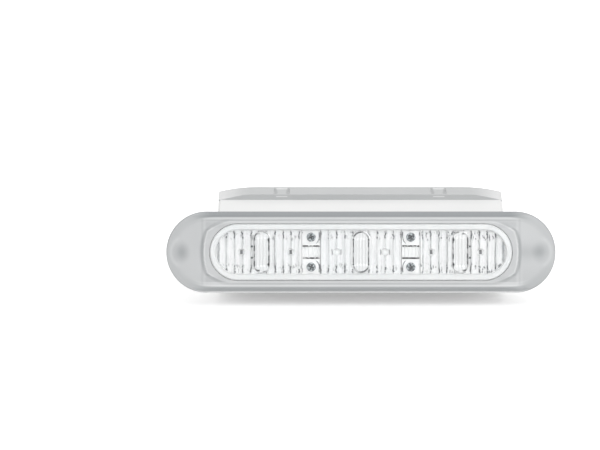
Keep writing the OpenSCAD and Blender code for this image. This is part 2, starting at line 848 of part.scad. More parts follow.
// Keeps the space inside one chamfered end of the base
module body_corner_keep(side) {
    corner_z = base_front_z - shoulder_fall;
    rotate([90, 0, 0]) linear_extrude(height = base_depth) polygon([
        [-side * far * 2, -far], [side * body_half, -far],
        [side * body_half, corner_z - body_chamfer], [side * (body_half - body_chamfer), corner_z],
        [side * (body_half - body_chamfer - far), corner_z + far], [-side * far * 2, far * 2]
    ]);
}

module base() {
    mouth_half = spigot_half + shell_fit;
    mouth_z = spigot_z + shell_fit;
    notch = clip_w / 2 + clip_fit;
    color("#cdcfd0") difference() {
        union() {
            base_half();
            mirror([0, 0, 1]) base_half();
        }
        block(-mouth_half, mouth_half, -mouth_z, mouth_z, base_plate, far);
        for (side = [-1, 1]) {
            disc(side * fixing_x, 0, -1, far, fixing_r);
            for (up = [-1, 1])
                block(side * clip_x - notch, side * clip_x + notch,
                    up > 0 ? mouth_z : -far, up > 0 ? far : -mouth_z, base_plate / 2, far);
        }
        disc(0, 0, -1, far, cable_hole_r);
    }
}

// A snap clip that fills a notch in the base and drops its nib into the spigot
module clip(side, up) {
    back = base_plate / 2 + clip_fit;
    front = base_depth;
    lift = spigot_z + shell_fit + clip_fit;
    color("#dfe1e1") {
        mirror([0, 0, up > 0 ? 0 : 1])
            along_x(side * clip_x - clip_w / 2, side * clip_x + clip_w / 2) polygon([
                [lift, back], [base_z(back), back], [base_z(back + clip_rib), back + clip_rib],
                [base_z(back + clip_rib) - clip_hollow, back + clip_rib + clip_hollow],
                [base_z(front - clip_rib) - clip_hollow, front - clip_rib - clip_hollow],
                [base_z(front - clip_rib), front - clip_rib], [base_z(front), front],
                [spigot_z, front], [spigot_z, spigot_back], [lift, spigot_back]
            ]);
        nib_pocket(side, up, 0);
    }
}

module clip_upper_left() {
    clip(-1, 1);
}

module clip_upper_right() {
    clip(1, 1);
}

module clip_lower_left() {
    clip(-1, -1);
}

module clip_lower_right() {
    clip(1, -1);
}

module cable_grommet() {
    color("#2a2c2e") difference() {
        union() {
            disc(0, 0, spigot_back - grommet_collar_t - grommet_nose, inner_back + eps, grommet_r);
            disc(0, 0, spigot_back - grommet_collar_t, spigot_back, grommet_collar_r);
            disc(0, 0, inner_back, inner_back + grommet_collar_t, grommet_collar_r);
        }
        disc(0, 0, -far, far, cable_r);
    }
}

module breather_vent() {
    color("#e4e6e6") {
        disc(vent_x, 0, spigot_back - vent_t, spigot_back, vent_r);
        disc(vent_x, 0, spigot_back - eps, inner_back, (vent_r - unit_fit) / 2);
    }
}

module driver_board() {
    color("#2f6b45") difference() {
        block(-driver_len / 2, driver_len / 2, -driver_h / 2, driver_h / 2, post_top, driver_front);
        for (side = [-1, 1], up = [-1, 1])
            disc(side * post_x, up * post_z, 0, far, driver_shank_r + screw_fit);
    }
}

module driver_screws() {
    color("#a7abae") for (side = [-1, 1], up = [-1, 1]) {
        x = side * post_x;
        z = up * post_z;
        top = driver_front + driver_head_t;
        difference() {
            disc(x, z, driver_front, top, driver_head_r);
            cross_slot(x, z, top - driver_head_t / 2, top + 1, driver_head_r * 0.6);
        }
        disc(x, z, inner_back + post_foot + screw_tip_gap, driver_front + eps, driver_shank_r);
    }
}

module inductor() {
    x = component_x(0);
    top = driver_front + inductor_h;
    color("#4a4d50") {
        disc(x, 0, driver_front, driver_front + inductor_h / 5, inductor_r);
        disc(x, 0, driver_front, top, inductor_r * 0.8);
        disc(x, 0, top - inductor_h / 5, top, inductor_r);
    }
}

module capacitor(x) {
    color("#3d4248") disc(x, 0, driver_front, driver_front + capacitor_h, capacitor_r);
}

module capacitor_1() {
    capacitor(component_x(1));
}

module capacitor_2() {
    capacitor(component_x(2));
}

module driver_chip() {
    x = component_x(3);
    color("#222426") block(x - chip_len / 2, x + chip_len / 2, -chip_w / 2, chip_w / 2,
        driver_front, driver_front + chip_h);
}

module board_connector() {
    x0 = component_x(4) - socket_len / 2;
    x1 = component_x(4) + socket_len / 2;
    z = socket_w / 2;
    color("#e8e4d8") difference() {
        block(x0, x1, -z, z, driver_front, driver_front + socket_h);
        block(x0 + socket_wall, x1 - socket_wall, socket_wall - z, z - socket_wall,
            driver_front + socket_wall, driver_front + socket_h + 1);
    }
}

cover();
cover_gasket();
cover_screws();
lens();
lens_gasket();
inner_frame();
reflector_left();
reflector_middle();
reflector_right();
light_bar_left();
light_bar_middle();
light_bar_right();
bridge_left();
bridge_right();
bridge_screws();
led(0);  // led_1
led(1);  // led_2
led(2);  // led_3
led(3);  // led_4
led(4);  // led_5
led(5);  // led_6
led_board();
thermal_pad();
heat_sink();
body();
base();
clip_upper_left();
clip_upper_right();
clip_lower_left();
clip_lower_right();
cable_grommet();
breather_vent();
driver_board();
driver_screws();
inductor();
capacitor_1();
capacitor_2();
driver_chip();
board_connector();
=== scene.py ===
# Studio scene of the silver daytime running light. Sizes in millimetres, objects in metres.
import bpy
import bmesh
import json
import math
from mathutils import Matrix, Vector


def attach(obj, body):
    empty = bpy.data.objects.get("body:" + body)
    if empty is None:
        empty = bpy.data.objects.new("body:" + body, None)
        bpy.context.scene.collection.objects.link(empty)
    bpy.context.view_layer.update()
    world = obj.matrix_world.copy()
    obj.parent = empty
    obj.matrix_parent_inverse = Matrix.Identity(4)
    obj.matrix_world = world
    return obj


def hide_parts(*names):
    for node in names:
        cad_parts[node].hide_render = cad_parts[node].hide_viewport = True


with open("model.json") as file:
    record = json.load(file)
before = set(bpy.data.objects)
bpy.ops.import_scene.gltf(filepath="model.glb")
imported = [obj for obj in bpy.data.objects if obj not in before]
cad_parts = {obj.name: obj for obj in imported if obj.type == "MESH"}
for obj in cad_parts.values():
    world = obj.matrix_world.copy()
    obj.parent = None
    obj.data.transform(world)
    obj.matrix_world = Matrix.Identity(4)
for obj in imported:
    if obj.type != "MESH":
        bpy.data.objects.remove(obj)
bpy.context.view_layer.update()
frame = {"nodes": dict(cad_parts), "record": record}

perMetre = 1000
lampFace = {"reach": 41.0, "lean": 10.0}  # the cover's rear edge: how far forward, and how far it leans back
faceToRow = (Matrix.Translation((0, -lampFace["reach"] / perMetre, 0))
             @ Matrix.Rotation(math.radians(-lampFace["lean"]), 4, "X") @ Matrix.Scale(1 / perMetre, 4))


def setInputs(tree, node, inputs):
    # sets a node's inputs, each to a value or to another node's output
    for name, value in inputs.items():
        if isinstance(value, bpy.types.NodeSocket):
            tree.links.new(value, node.inputs[name])
        else:
            node.inputs[name].default_value = value


def addNode(tree, kind, inputs=None, **options):
    node = tree.nodes.new("ShaderNode" + kind)
    for option, choice in options.items():
        setattr(node, option, choice)
    setInputs(tree, node, inputs or {})
    return node


def mathNode(tree, operation, *values):
    return addNode(tree, "Math", dict(enumerate(values)), operation=operation).outputs[0]


def product(tree, first, *others):
    for value in others:
        first = mathNode(tree, "MULTIPLY", first, value)
    return first


def rampNode(tree, value, low, high, bottom=0.0, top=1.0):
    # goes smoothly from bottom at low to top at high
    ends = {"From Min": low, "From Max": high, "To Min": bottom, "To Max": top}
    node = addNode(tree, "MapRange", {"Value": value, **ends}, interpolation_type="SMOOTHSTEP")
    return node.outputs["Result"]


def bandNode(tree, value, low, full, fade, end):
    # rises from low to full, and falls from fade to end
    return product(tree, rampNode(tree, value, low, full), rampNode(tree, value, end, fade))


def offFrom(tree, value, centre):
    # how far a value is from a centre, on either side
    return mathNode(tree, "ABSOLUTE", mathNode(tree, "SUBTRACT", value, centre))


def nearTo(tree, value, centre, half, soft):
    # 1 within half of a centre, 0 past half + soft
    return rampNode(tree, offFrom(tree, value, centre), half + soft, half)


def distanceNode(tree, a, b):
    return mathNode(tree, "SQRT", mathNode(tree, "ADD", product(tree, a, a), product(tree, b, b)))


def mixColours(tree, share, first, second):
    return addNode(tree, "Mix", {"Factor": share, "A": first, "B": second}, data_type="RGBA").outputs["Result"]


def noiseNode(tree, vector, scale, detail):
    return addNode(tree, "TexNoise", {"Vector": vector, "Scale": scale, "Detail": detail}).outputs["Fac"]


def patchNoise(tree, vector, stretch, detail=2):
    # a noise whose patches are about 1/stretch units wide along each axis
    scaled = addNode(tree, "Mapping", {"Vector": vector, "Scale": stretch}).outputs["Vector"]
    return noiseNode(tree, scaled, 1, detail)


def patchRamp(tree, vector, stretch, low, high, bottom=0.0, detail=2):
    # patches that come in between two levels of the noise
    return rampNode(tree, patchNoise(tree, vector, stretch, detail), low, high, bottom)


def objectCoords(tree):
    return addNode(tree, "TexCoord").outputs["Object"]


def facePlace(tree):
    # where a point is on the lamp's face, in its own millimetres: its vector, and how far out and up it lies
    place = addNode(tree, "Mapping", {
        "Vector": objectCoords(tree), "Location": (0, -lampFace["reach"] / perMetre, 0),
        "Rotation": (math.radians(-lampFace["lean"]), 0, 0), "Scale": (1 / perMetre,) * 3,
    }, vector_type="TEXTURE").outputs["Vector"]
    split = addNode(tree, "SeparateXYZ", {"Vector": place})
    return place, mathNode(tree, "ABSOLUTE", split.outputs["X"]), mathNode(tree, "ABSOLUTE", split.outputs["Z"])


def lampPlace(tree):
    # where a point is in the frame of the whole lamp, in millimetres: to the right, back and up
    split = addNode(tree, "SeparateXYZ", {"Vector": objectCoords(tree)})
    return [product(tree, split.outputs[axis], perMetre) for axis in "XYZ"]


plainLook = {  # what a finish has unless it says otherwise
    "stretch": (1, 1, 1), "cloudScale": 45, "cloudDetail": 3, "contrast": 0.5,
    "grainScale": 1400, "grainDetail": 2, "bump": 0.1, "bumpDepth": 0.0001, "metal": 0,
}


def grainMaterial(name, ownLook):
    # one moulded or metal finish: two close colours, uneven gloss and a fine grain
    look = {**plainLook, **ownLook}
    mat = bpy.data.materials.new(name)
    mat.use_nodes = True
    tree = mat.node_tree
    place = addNode(tree, "Mapping", {"Vector": objectCoords(tree), "Scale": look["stretch"]}).outputs["Vector"]
    cloud = noiseNode(tree, place, look["cloudScale"], look["cloudDetail"])
    grain = noiseNode(tree, place, look["grainScale"], look["grainDetail"])
    blend = rampNode(tree, cloud, 0.5 - look["contrast"], 0.5 + look["contrast"])
    tint = mixColours(tree, blend, (*look["colour"], 1), (*look["second"], 1))
    gloss = addNode(tree, "MapRange", {"Value": grain, "To Min": look["rough"][0], "To Max": look["rough"][1]})
    bump = addNode(tree, "Bump", {"Height": grain, "Strength": look["bump"], "Distance": look["bumpDepth"]})
    setInputs(tree, tree.nodes["Principled BSDF"], {
        "Base Color": tint, "Roughness": gloss.outputs["Result"], "Normal": bump.outputs["Normal"],
        "Metallic": look["metal"]})
    return mat


def layTone(mat, source, amount, colour):
    # lays another tone over a finish where source is high
    tree = mat.node_tree
    shader = tree.nodes["Principled BSDF"]
    under = shader.inputs["Base Color"].links[0].from_socket
    share = addNode(tree, "MapRange", {"Value": source, "To Max": amount}).outputs["Result"]
    setInputs(tree, shader, {"Base Color": mixColours(tree, share, under, (*colour, 1))})


finishes = {
    "cover_plastic": {"colour": (0.525, 0.536, 0.542), "second": (0.575, 0.586, 0.592), "rough": (0.38, 0.5),
                      "metal": 0.2, "grainScale": 2600, "bump": 0.08},
    "rubber": {"colour": (0.02, 0.021, 0.023), "second": (0.035, 0.036, 0.038), "rough": (0.6, 0.8),
               "bump": 0.3},
    "screw_steel": {"colour": (0.5, 0.51, 0.52), "second": (0.6, 0.6, 0.6), "rough": (0.25, 0.4), "metal": 1},
    "dark_screw_steel": {"colour": (0.09, 0.104, 0.11), "second": (0.5, 0.54, 0.555), "rough": (0.22, 0.45),
                         "metal": 0.7, "cloudScale": 1300, "contrast": 0.1, "bump": 0.7},
    "frame_plastic": {"colour": (0.86, 0.87, 0.87), "second": (0.9, 0.905, 0.905), "rough": (0.3, 0.4)},
    "reflector_plating": {"colour": (0.95, 0.955, 0.96), "second": (0.99, 0.99, 0.99), "rough": (0.1, 0.22),
                          "metal": 0.45, "grainScale": 500, "bump": 0.25},
    "light_bar_acrylic": {"colour": (0.84, 0.845, 0.845), "second": (0.91, 0.915, 0.915), "rough": (0.16, 0.28),
                          "metal": 0.7, "bump": 0.08},
    "bridge_plastic": {"colour": (0.96, 0.965, 0.965), "second": (0.99, 0.99, 0.99), "rough": (0.3, 0.42),
                       "metal": 0.4},
    "led_package": {"colour": (0.94, 0.95, 0.95), "second": (0.96, 0.965, 0.96), "rough": (0.12, 0.25)},
    "white_board": {"colour": (0.8, 0.81, 0.79), "second": (0.86, 0.86, 0.84), "rough": (0.3, 0.45)},
    "pad_rubber": {"colour": (0.22, 0.27, 0.34), "second": (0.27, 0.32, 0.39), "rough": (0.6, 0.8)},
    "sink_aluminium": {"colour": (0.55, 0.56, 0.57), "second": (0.65, 0.655, 0.66), "rough": (0.28, 0.42),
                       "metal": 1, "stretch": (0.05, 1, 1)},
    "body_plastic": {"colour": (0.84, 0.845, 0.84), "second": (0.875, 0.875, 0.87), "rough": (0.35, 0.5),
                     "grainScale": 1800, "bump": 0.12},
    "base_plastic": {"colour": (0.53, 0.54, 0.545), "second": (0.58, 0.59, 0.59), "rough": (0.42, 0.56),
                     "grainScale": 1600, "bump": 0.16},
    "clip_plastic": {"colour": (0.53, 0.54, 0.545), "second": (0.58, 0.59, 0.59), "rough": (0.42, 0.56),
                     "grainScale": 1600},
    "vent_membrane": {"colour": (0.72, 0.72, 0.71), "second": (0.8, 0.8, 0.79), "rough": (0.7, 0.9),
                      "grainScale": 3000, "bump": 0.5},
    "green_board": {"colour": (0.012, 0.09, 0.035), "second": (0.02, 0.13, 0.05), "rough": (0.25, 0.4)},
    "component_dark": {"colour": (0.02, 0.022, 0.024), "second": (0.035, 0.037, 0.04), "rough": (0.35, 0.55)},
    "connector_plastic": {"colour": (0.7, 0.66, 0.56), "second": (0.76, 0.72, 0.62), "rough": (0.35, 0.5)},
}
materials = {slot: grainMaterial(slot, look) for slot, look in finishes.items()}

clearLens = {"colour": (0.985, 0.995, 1.0), "second": (1.0, 1.0, 1.0), "rough": (0.0, 0.02), "ior": 1.49,
             "grainScale": 300, "bump": 0.03, "shadow": (0.99, 1.0, 1.0)}


def clearMaterial(name, look):
    # clear plastic that lets the lamps through to what lies behind it
    mat = grainMaterial(name, look)
    tree = mat.node_tree
    shader = tree.nodes["Principled BSDF"]
    setInputs(tree, shader, {"Transmission Weight": 1, "IOR": look["ior"]})
    inShadow = addNode(tree, "LightPath").outputs["Is Shadow Ray"]
    through = addNode(tree, "BsdfTransparent", {"Color": (*look["shadow"], 1)})
    blend = addNode(tree, "MixShader", {"Fac": inShadow, 1: shader.outputs["BSDF"], 2: through.outputs["BSDF"]})
    setInputs(tree, tree.nodes["Material Output"], {"Surface": blend.outputs["Shader"]})
    return mat


materials["clear_lens"] = clearMaterial("clear_lens", clearLens)

edgeTones = [  # the tones that a piece's own attribute brings in: finish, attribute, how much and colour
    # painted shade on the cover
    ("cover_plastic", "edgeTone", 1.0, (0.2, 0.215, 0.225)),
    # painted highlights on the cover
    ("cover_plastic", "paintedHighlight", 1.0, (0.86, 0.87, 0.87)),
    # painted shade on the forward-looking faces of the base and clips
    ("base_plastic", "edgeTone", 1.0, (0.36, 0.37, 0.375)),
    ("clip_plastic", "edgeTone", 1.0, (0.36, 0.37, 0.375)),
    # painted shade along the light bars' outlines and ridges
    ("light_bar_acrylic", "edgeTone", 1.0, (0.03, 0.033, 0.036)),
    # the dark X on each chip's lens front
    ("led_package", "edgeTone", 1.0, (0.04, 0.044, 0.048)),
    # painted shade in each screw head's cross recess
    ("dark_screw_steel", "edgeTone", 0.8, (0.03, 0.032, 0.035)),
]
for slot, attribute, amount, colour in edgeTones:
    source = addNode(materials[slot].node_tree, "Attribute", attribute_name=attribute)
    layTone(materials[slot], source.outputs["Fac"], amount, colour)

# In the dictionaries of marks, a line is its centre, half width and soft edge. Patches are a noise's stretch
# along the three axes, the two levels that it comes in between, its lowest value and its detail.
flutes = {
    "pitch": 3.72, "sideStart": 65.725, "sideFrom": 25.0, "dark": (0.08, 0.09, 0.1), "grey": (0.3, 0.32, 0.33),
    "sway": (0.2, 0.2, 0.45), "swing": (5.5, 9.5, 0.8, 2.6),  # how the ridges wander, most at their ends
    "streaks": ((1.7, 1.7, 0.12), 0.45, 0.75), "streaksTone": (0.3, (0.45, 0.47, 0.48)),
    "dimReflections": ((0.9, 0.5, 0.6), 0.58, 0.72, 0, 4), "dimReflectionsTone": (0.22, (0.4, 0.42, 0.43)),
    "line": (0.34, 0.1), "lineBreaks": ((0.7, 0.2, 0.3), 0.35, 0.6, 0.3), "lineTone": 0.8,
    "rightFrom": (22, 28, 0.55), "outerFrom": (24, 26, 0.35),  # lines are fainter on the left and in the middle
    "endLine": (0.45, 0.18), "endBand": (5.6, 6.8, 9.3, 9.8), "endTone": 0.88,
    "clumps": ((0.5, 0.2, 0.8), 0.42, 0.52, 0, 3),
    "flecks": ((1.1, 0.2, 0.45), 0.59, 0.64, 0, 3), "fleckBand": (4.4, 6, 9.3, 9.8), "fleckTone": 0.8,
    "chipX": 11.2, "dash": (2.05, 0.14, 0.2), "dashEnd": (1.4, 1.1), "dashTone": 0.75,
    "arc": (65.8, 0.42, 0.5), "arcReach": (6.5, 3.5), "arcTone": 0.62,
    "pinAcross": (50.35, 0.34, 0.25), "pinUp": (2.6, 0.34, 0.25), "pinTone": 0.97,
}


def addFluteLines(mat):
    # painted shade and reflections on the plated flutes: grey lines on the ridges between flutes, which end in
    # short dark marks, and dashes beside the middle chips
    tree = mat.node_tree
    place, across, upright = facePlace(tree)
    onRight = rampNode(tree, addNode(tree, "SeparateXYZ", {"Vector": place}).outputs["X"], *flutes["rightFrom"])
    sway = mathNode(tree, "SUBTRACT", patchNoise(tree, place, flutes["sway"]), 0.5)
    across = mathNode(tree, "ADD", across, product(tree, sway, rampNode(tree, upright, *flutes["swing"])))
    onSide = mathNode(tree, "GREATER_THAN", across, flutes["sideFrom"])
    fromStart = mathNode(tree, "SUBTRACT", across, product(tree, onSide, flutes["sideStart"]))
    fromRidge = mathNode(tree, "PINGPONG", fromStart, flutes["pitch"] / 2)
    for patches in ("streaks", "dimReflections"):
        layTone(mat, patchRamp(tree, place, *flutes[patches]), *flutes[patches + "Tone"])
    breaks = patchRamp(tree, place, *flutes["lineBreaks"])
    strength = product(tree, breaks, onRight, rampNode(tree, across, *flutes["outerFrom"]))
    line = product(tree, rampNode(tree, fromRidge, *flutes["line"]), strength)
    layTone(mat, line, flutes["lineTone"], flutes["grey"])
    endMark = product(tree, rampNode(tree, fromRidge, *flutes["endLine"]),
                      bandNode(tree, upright, *flutes["endBand"]), patchRamp(tree, place, *flutes["clumps"]))
    layTone(mat, endMark, flutes["endTone"], flutes["dark"])
    flecks, nearEnd = patchRamp(tree, place, *flutes["flecks"]), bandNode(tree, upright, *flutes["fleckBand"])
    fleckMark = product(tree, flecks, nearEnd, onRight)
    layTone(mat, fleckMark, flutes["fleckTone"], flutes["dark"])
    fromChip = offFrom(tree, across, flutes["chipX"])
    dash = product(tree, nearTo(tree, fromChip, *flutes["dash"]), rampNode(tree, upright, *flutes["dashEnd"]))
    layTone(mat, dash, flutes["dashTone"], flutes["dark"])
    arc = product(tree, nearTo(tree, across, *flutes["arc"]), rampNode(tree, upright, *flutes["arcReach"]))
    layTone(mat, arc, flutes["arcTone"], flutes["grey"])
    pin = product(tree, nearTo(tree, across, *flutes["pinAcross"]), nearTo(tree, upright, *flutes["pinUp"]))
    layTone(mat, pin, flutes["pinTone"], flutes["dark"])


bridgeMarks = {
    "x": 23.0, "slit": (2.8, 0.32, 0.12), "slitEnd": (4.1, 3.8), "slitTone": (0.97, (0.01, 0.012, 0.014)),
    "slitDashes": ((0.8, 0.2, 0.5), 0.42, 0.52, 0.1),
    "tick": (3.95, 0.1, 0.22), "tickBand": (5.2, 5.6, 9.2, 9.6), "tickTone": 0.8,
    "tickPatches": ((0.4, 0.2, 0.6), 0.47, 0.58, 0, 3),
    "screwZ": 6.9, "bracket": (3.7, 0.1, 0.22), "bracketBand": (-0.2, 0, 2.2, 2.7), "bracketTone": 0.9,
    "arcBelow": (0.2, 0), "arcInward": (1.8, 3.0),
}


def addBridgeMarks(mat):
    # painted shade: the dark slits above and below the window, and the ticks where a bridge meets the flutes
    tree = mat.node_tree
    place, across, upright = facePlace(tree)
    beside = offFrom(tree, across, bridgeMarks["x"])
    slit = product(tree, nearTo(tree, upright, *bridgeMarks["slit"]),
                   rampNode(tree, beside, *bridgeMarks["slitEnd"]),
                   patchRamp(tree, place, *bridgeMarks["slitDashes"]))
    layTone(mat, slit, *bridgeMarks["slitTone"])
    tick = product(tree, nearTo(tree, beside, *bridgeMarks["tick"]),
                   bandNode(tree, upright, *bridgeMarks["tickBand"]),
                   patchRamp(tree, place, *bridgeMarks["tickPatches"]))
    layTone(mat, tick, bridgeMarks["tickTone"], flutes["dark"])
    # a bracket on the inner side of each screw: a short upright line that curves in below the screw
    inward = mathNode(tree, "SUBTRACT", bridgeMarks["x"], across)
    below = mathNode(tree, "SUBTRACT", upright, bridgeMarks["screwZ"])
    upLine = product(tree, nearTo(tree, inward, *bridgeMarks["bracket"]),
                     bandNode(tree, below, *bridgeMarks["bracketBand"]))
    curve = product(tree, rampNode(tree, below, *bridgeMarks["arcBelow"]),
                    rampNode(tree, inward, *bridgeMarks["arcInward"]))
    arc = product(tree, nearTo(tree, distanceNode(tree, inward, below), *bridgeMarks["bracket"]), curve)
    layTone(mat, mathNode(tree, "MAXIMUM", upLine, arc), bridgeMarks["bracketTone"], flutes["dark"])


endLight = {
    "reach": (50, 68), "lightTone": (0.8, (0.84, 0.84, 0.84)), "riserTone": (0.1, 0.3),
    "bodyTop": 19.9, "wedgeEnd": 65.5, "wedgeSlope": 0.21, "wedgeSoft": 0.15,
    "stripTone": (0.9, (0.56, 0.57, 0.575)),
}


def addEndLight(mat):
    # painted highlight: the moulding gets lighter towards its ends, where the painted shade on its front face
    # thins out to a wedge
    tree = mat.node_tree
    across = facePlace(tree)[1]
    up = mathNode(tree, "ABSOLUTE", lampPlace(tree)[2])
    wedge = product(tree, mathNode(tree, "SUBTRACT", endLight["wedgeEnd"], across), endLight["wedgeSlope"])
    overWedge = mathNode(tree, "SUBTRACT", mathNode(tree, "SUBTRACT", up, endLight["bodyTop"]), wedge)
    above = rampNode(tree, overWedge, -endLight["wedgeSoft"], endLight["wedgeSoft"])
    riser = addNode(tree, "Attribute", attribute_name="edgeTone").outputs["Fac"]
    low, high = endLight["riserTone"]
    # the strip's own colour over the riser above the wedge, in place of its painted shade
    layTone(mat, product(tree, rampNode(tree, riser, low, high), above), *endLight["stripTone"])
    light = mathNode(tree, "MAXIMUM", rampNode(tree, riser, high, low), above)
    layTone(mat, product(tree, rampNode(tree, across, *endLight["reach"]), light), *endLight["lightTone"])


mouldMarks = {
    "rear": (-1.0, -0.6), "colour": (0.25, 0.255, 0.26), "pins": ((18, 14), (58, 14)),
    "pinRing": (2.4, 0.06, 0.16), "pinTone": 0.3, "hole": (52, 0), "rubbed": (4.4, 2.6), "rubbedTone": 0.16,
}


def addMouldMarks(mat):
    # the round marks of the mould's pins on the flat rear face, and a rubbed ring round each fixing hole
    tree = mat.node_tree
    side, back, up = lampPlace(tree)
    onRear = rampNode(tree, back, *mouldMarks["rear"])

    def awayFrom(x, z):
        offX = mathNode(tree, "SUBTRACT", mathNode(tree, "ABSOLUTE", side), x)
        offZ = mathNode(tree, "SUBTRACT", mathNode(tree, "ABSOLUTE", up), z)
        return distanceNode(tree, offX, offZ)

    for x, z in mouldMarks["pins"]:
        ring = nearTo(tree, awayFrom(x, z), *mouldMarks["pinRing"])
        layTone(mat, product(tree, ring, onRear), mouldMarks["pinTone"], mouldMarks["colour"])
    rubbed = rampNode(tree, awayFrom(*mouldMarks["hole"]), *mouldMarks["rubbed"])
    layTone(mat, product(tree, rubbed, onRear), mouldMarks["rubbedTone"], mouldMarks["colour"])


clipShading = {
    "x": 36.7, "depth": (-13, -3), "waist": 0.5, "side": (3.0, 0.35, 0.6), "sideFrom": (-13.6, -12.6),
    "sideTone": (0.4, (0.3, 0.305, 0.31)), "inner": (2.9, 2.4), "rib": (-3.4, -2.9),
    "line": (21.45, 0.14, 0.18), "lightTone": (0.5, (0.85, 0.85, 0.85)),
}


def addClipShading(mat):
    # painted shade on the sides, with a waist, a painted highlight on the rear rib and a painted highlight line
    # across the front
    tree = mat.node_tree
    across, back, up = lampPlace(tree)
    beside = offFrom(tree, mathNode(tree, "ABSOLUTE", across), clipShading["x"])
    middle = mathNode(tree, "PINGPONG", rampNode(tree, back, *clipShading["depth"]), 0.5)
    waist = mathNode(tree, "ADD", beside, product(tree, middle, 2 * clipShading["waist"]))
    side = product(tree, nearTo(tree, waist, *clipShading["side"]), rampNode(tree, back, *clipShading["sideFrom"]))
    layTone(mat, side, *clipShading["sideTone"])
    onRib = rampNode(tree, back, *clipShading["rib"])
    onLine = nearTo(tree, mathNode(tree, "ABSOLUTE", up), *clipShading["line"])
    light = product(tree, rampNode(tree, beside, *clipShading["inner"]), mathNode(tree, "MAXIMUM", onRib, onLine))
    layTone(mat, light, *clipShading["lightTone"])


addFluteLines(materials["reflector_plating"])
addBridgeMarks(materials["bridge_plastic"])
addEndLight(materials["base_plastic"])
addMouldMarks(materials["base_plastic"])
addClipShading(materials["clip_plastic"])
print("materials:", len(materials))

poleR = 0.001  # a ring of this radius closes a surface in a pole
weldWithin = 0.0005  # points nearer than this become one
centrePoint = (0, 0)  # the outline of a disc's middle


def stepBetween(low, high, value):
    # goes smoothly from 0 at low to 1 at high
    t = min(max((value - low) / (high - low), 0), 1)
    return t * t * (3 - 2 * t)


def bandBetween(low, full, fade, end, value):
    return stepBetween(low, full, value) * stepBetween(end, fade, value)


def softLine(value, amount, centre, width):
    # amount at its centre, and next to nothing past twice its width
    return amount * math.exp(-((value - centre) / width) ** 2)


def finishPiece(name, bm, slot, sharpAngle=35, toRow=faceToRow):
    # turns a bmesh in the face's millimetres into a finished object on the root body
    if toRow is not None:
        bmesh.ops.transform(bm, matrix=toRow, verts=bm.verts)
    mesh = bpy.data.meshes.new(name)
    bm.to_mesh(mesh)
    bm.free()
    for face in mesh.polygons:
        face.use_smooth = True
    mesh.set_sharp_from_angle(angle=math.radians(sharpAngle))
    mesh.materials.append(materials[slot])
    obj = bpy.data.objects.new(name, mesh)
    bpy.context.scene.collection.objects.link(obj)
    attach(obj, "root")
    return obj


def trackPoint(step, straightSteps, arcSteps, half, r):
    # a point on a round-ended outline, the same step landing at the same corner on every ring
    c = half - r
    side = straightSteps + arcSteps
    turn = -1 if step % (2 * side) >= side else 1
    k = step % side
    if k < straightSteps:
        x, z = c * (2 * k / straightSteps - 1), -r
    else:
        a = math.pi * ((k - straightSteps) / arcSteps - 0.5)
        x, z = c + r * math.cos(a), r * math.sin(a)
    return turn * x, turn * z


def ringLoft(rings, straightSteps, arcSteps, closed=True):
    # lofts round-ended rings, each (half length, radius, forward distance or a function of x and z)
    around = 2 * (straightSteps + arcSteps)
    rows = len(rings) - (0 if closed else 1)
    bm = bmesh.new()
    bmesh.ops.create_grid(bm, x_segments=around, y_segments=rows, size=0.5)
    for v in bm.verts:
        step = round((v.co.x + 0.5) * around)
        half, r, forward = rings[round((v.co.y + 0.5) * rows) % len(rings)]
        x, z = trackPoint(step, straightSteps, arcSteps, half, r)
        v.co = (x, -forward(x, z) if callable(forward) else -forward, z)
    bmesh.ops.remove_doubles(bm, verts=bm.verts, dist=weldWithin)
    bmesh.ops.recalc_face_normals(bm, faces=bm.faces)
    return bm


def ringAt(outline, out, forward):
    # a ring that lies this far outside an outline, which is its half length and radius
    half, r = outline
    return half + out, r + out, forward


def roundedEdge(outline, edge, front, angles):
    # the rings of a front's rounded edge, each at an angle up from the side
    turns = [math.radians(a) for a in angles]
    return [ringAt(outline, -edge * (1 - math.cos(a)), front - edge * (1 - math.sin(a))) for a in turns]


def paintVerts(bm, toneAt):
    # keeps a dark tone on each vertex, found from where it lies across, forward and up
    layer = bm.verts.layers.float.new("edgeTone")
    for v in bm.verts:
        v[layer] = toneAt(v.co.x, -v.co.y, v.co.z)


cover = {
    "half": 90.0, "r": 18.8, "sideTop": 7.2, "face": 9.4, "edgeRoll": 0.8, "bevelBlend": 0.5,
    "creaseX": 73.4, "capFall": 4.6, "capLen": 16.6, "creaseBlend": 1.6,
    "islandTop": 10.6, "islandHalf": 72.4, "islandHalfH": 13.9, "sideSlope": 1.2, "endSlope": 1.0,
    "endBow": 1.5, "bowHalf": 9.2, "islandBlend": 0.35, "footBlend": 0.9,
    "cornerFrom": 60.0, "cornerLen": 11.65, "cornerH": 4.95, "cornerPower": 1.75,
    "opening": (70.0, 13.2), "ledge": 8.6, "frame": (71.45, 14.65), "pocket": (87.8, 16.6), "pocketFloor": 2.6,
    "rearEdge": ((-0.3, 0), (-0.09, 0.09), (0, 0.3)), "bossX": 82.9, "dimpleR": 4.3, "dimpleDepth": 0.25,
    "bandSteps": (0, 0.05, 0.14, 0.28, 0.46, 0.7, 1.0, 1.3, 1.6, 1.9, 2.2, 2.5, 2.8, 3.1),
    "fieldSteps": 46, "around": (260, 120), "sharpAngle": 40,
}


def softMin(a, b, k):
    h = max(k - abs(a - b), 0) / k
    return min(a, b) - h * h * k / 4


def softMax(a, b, k):
    return -softMin(-a, -b, k)


def edgeDistance(x, z):
    # how far inside the cover's outline a place is
    c = cover["half"] - cover["r"]
    return cover["r"] - math.hypot(max(abs(x) - c, 0), z)


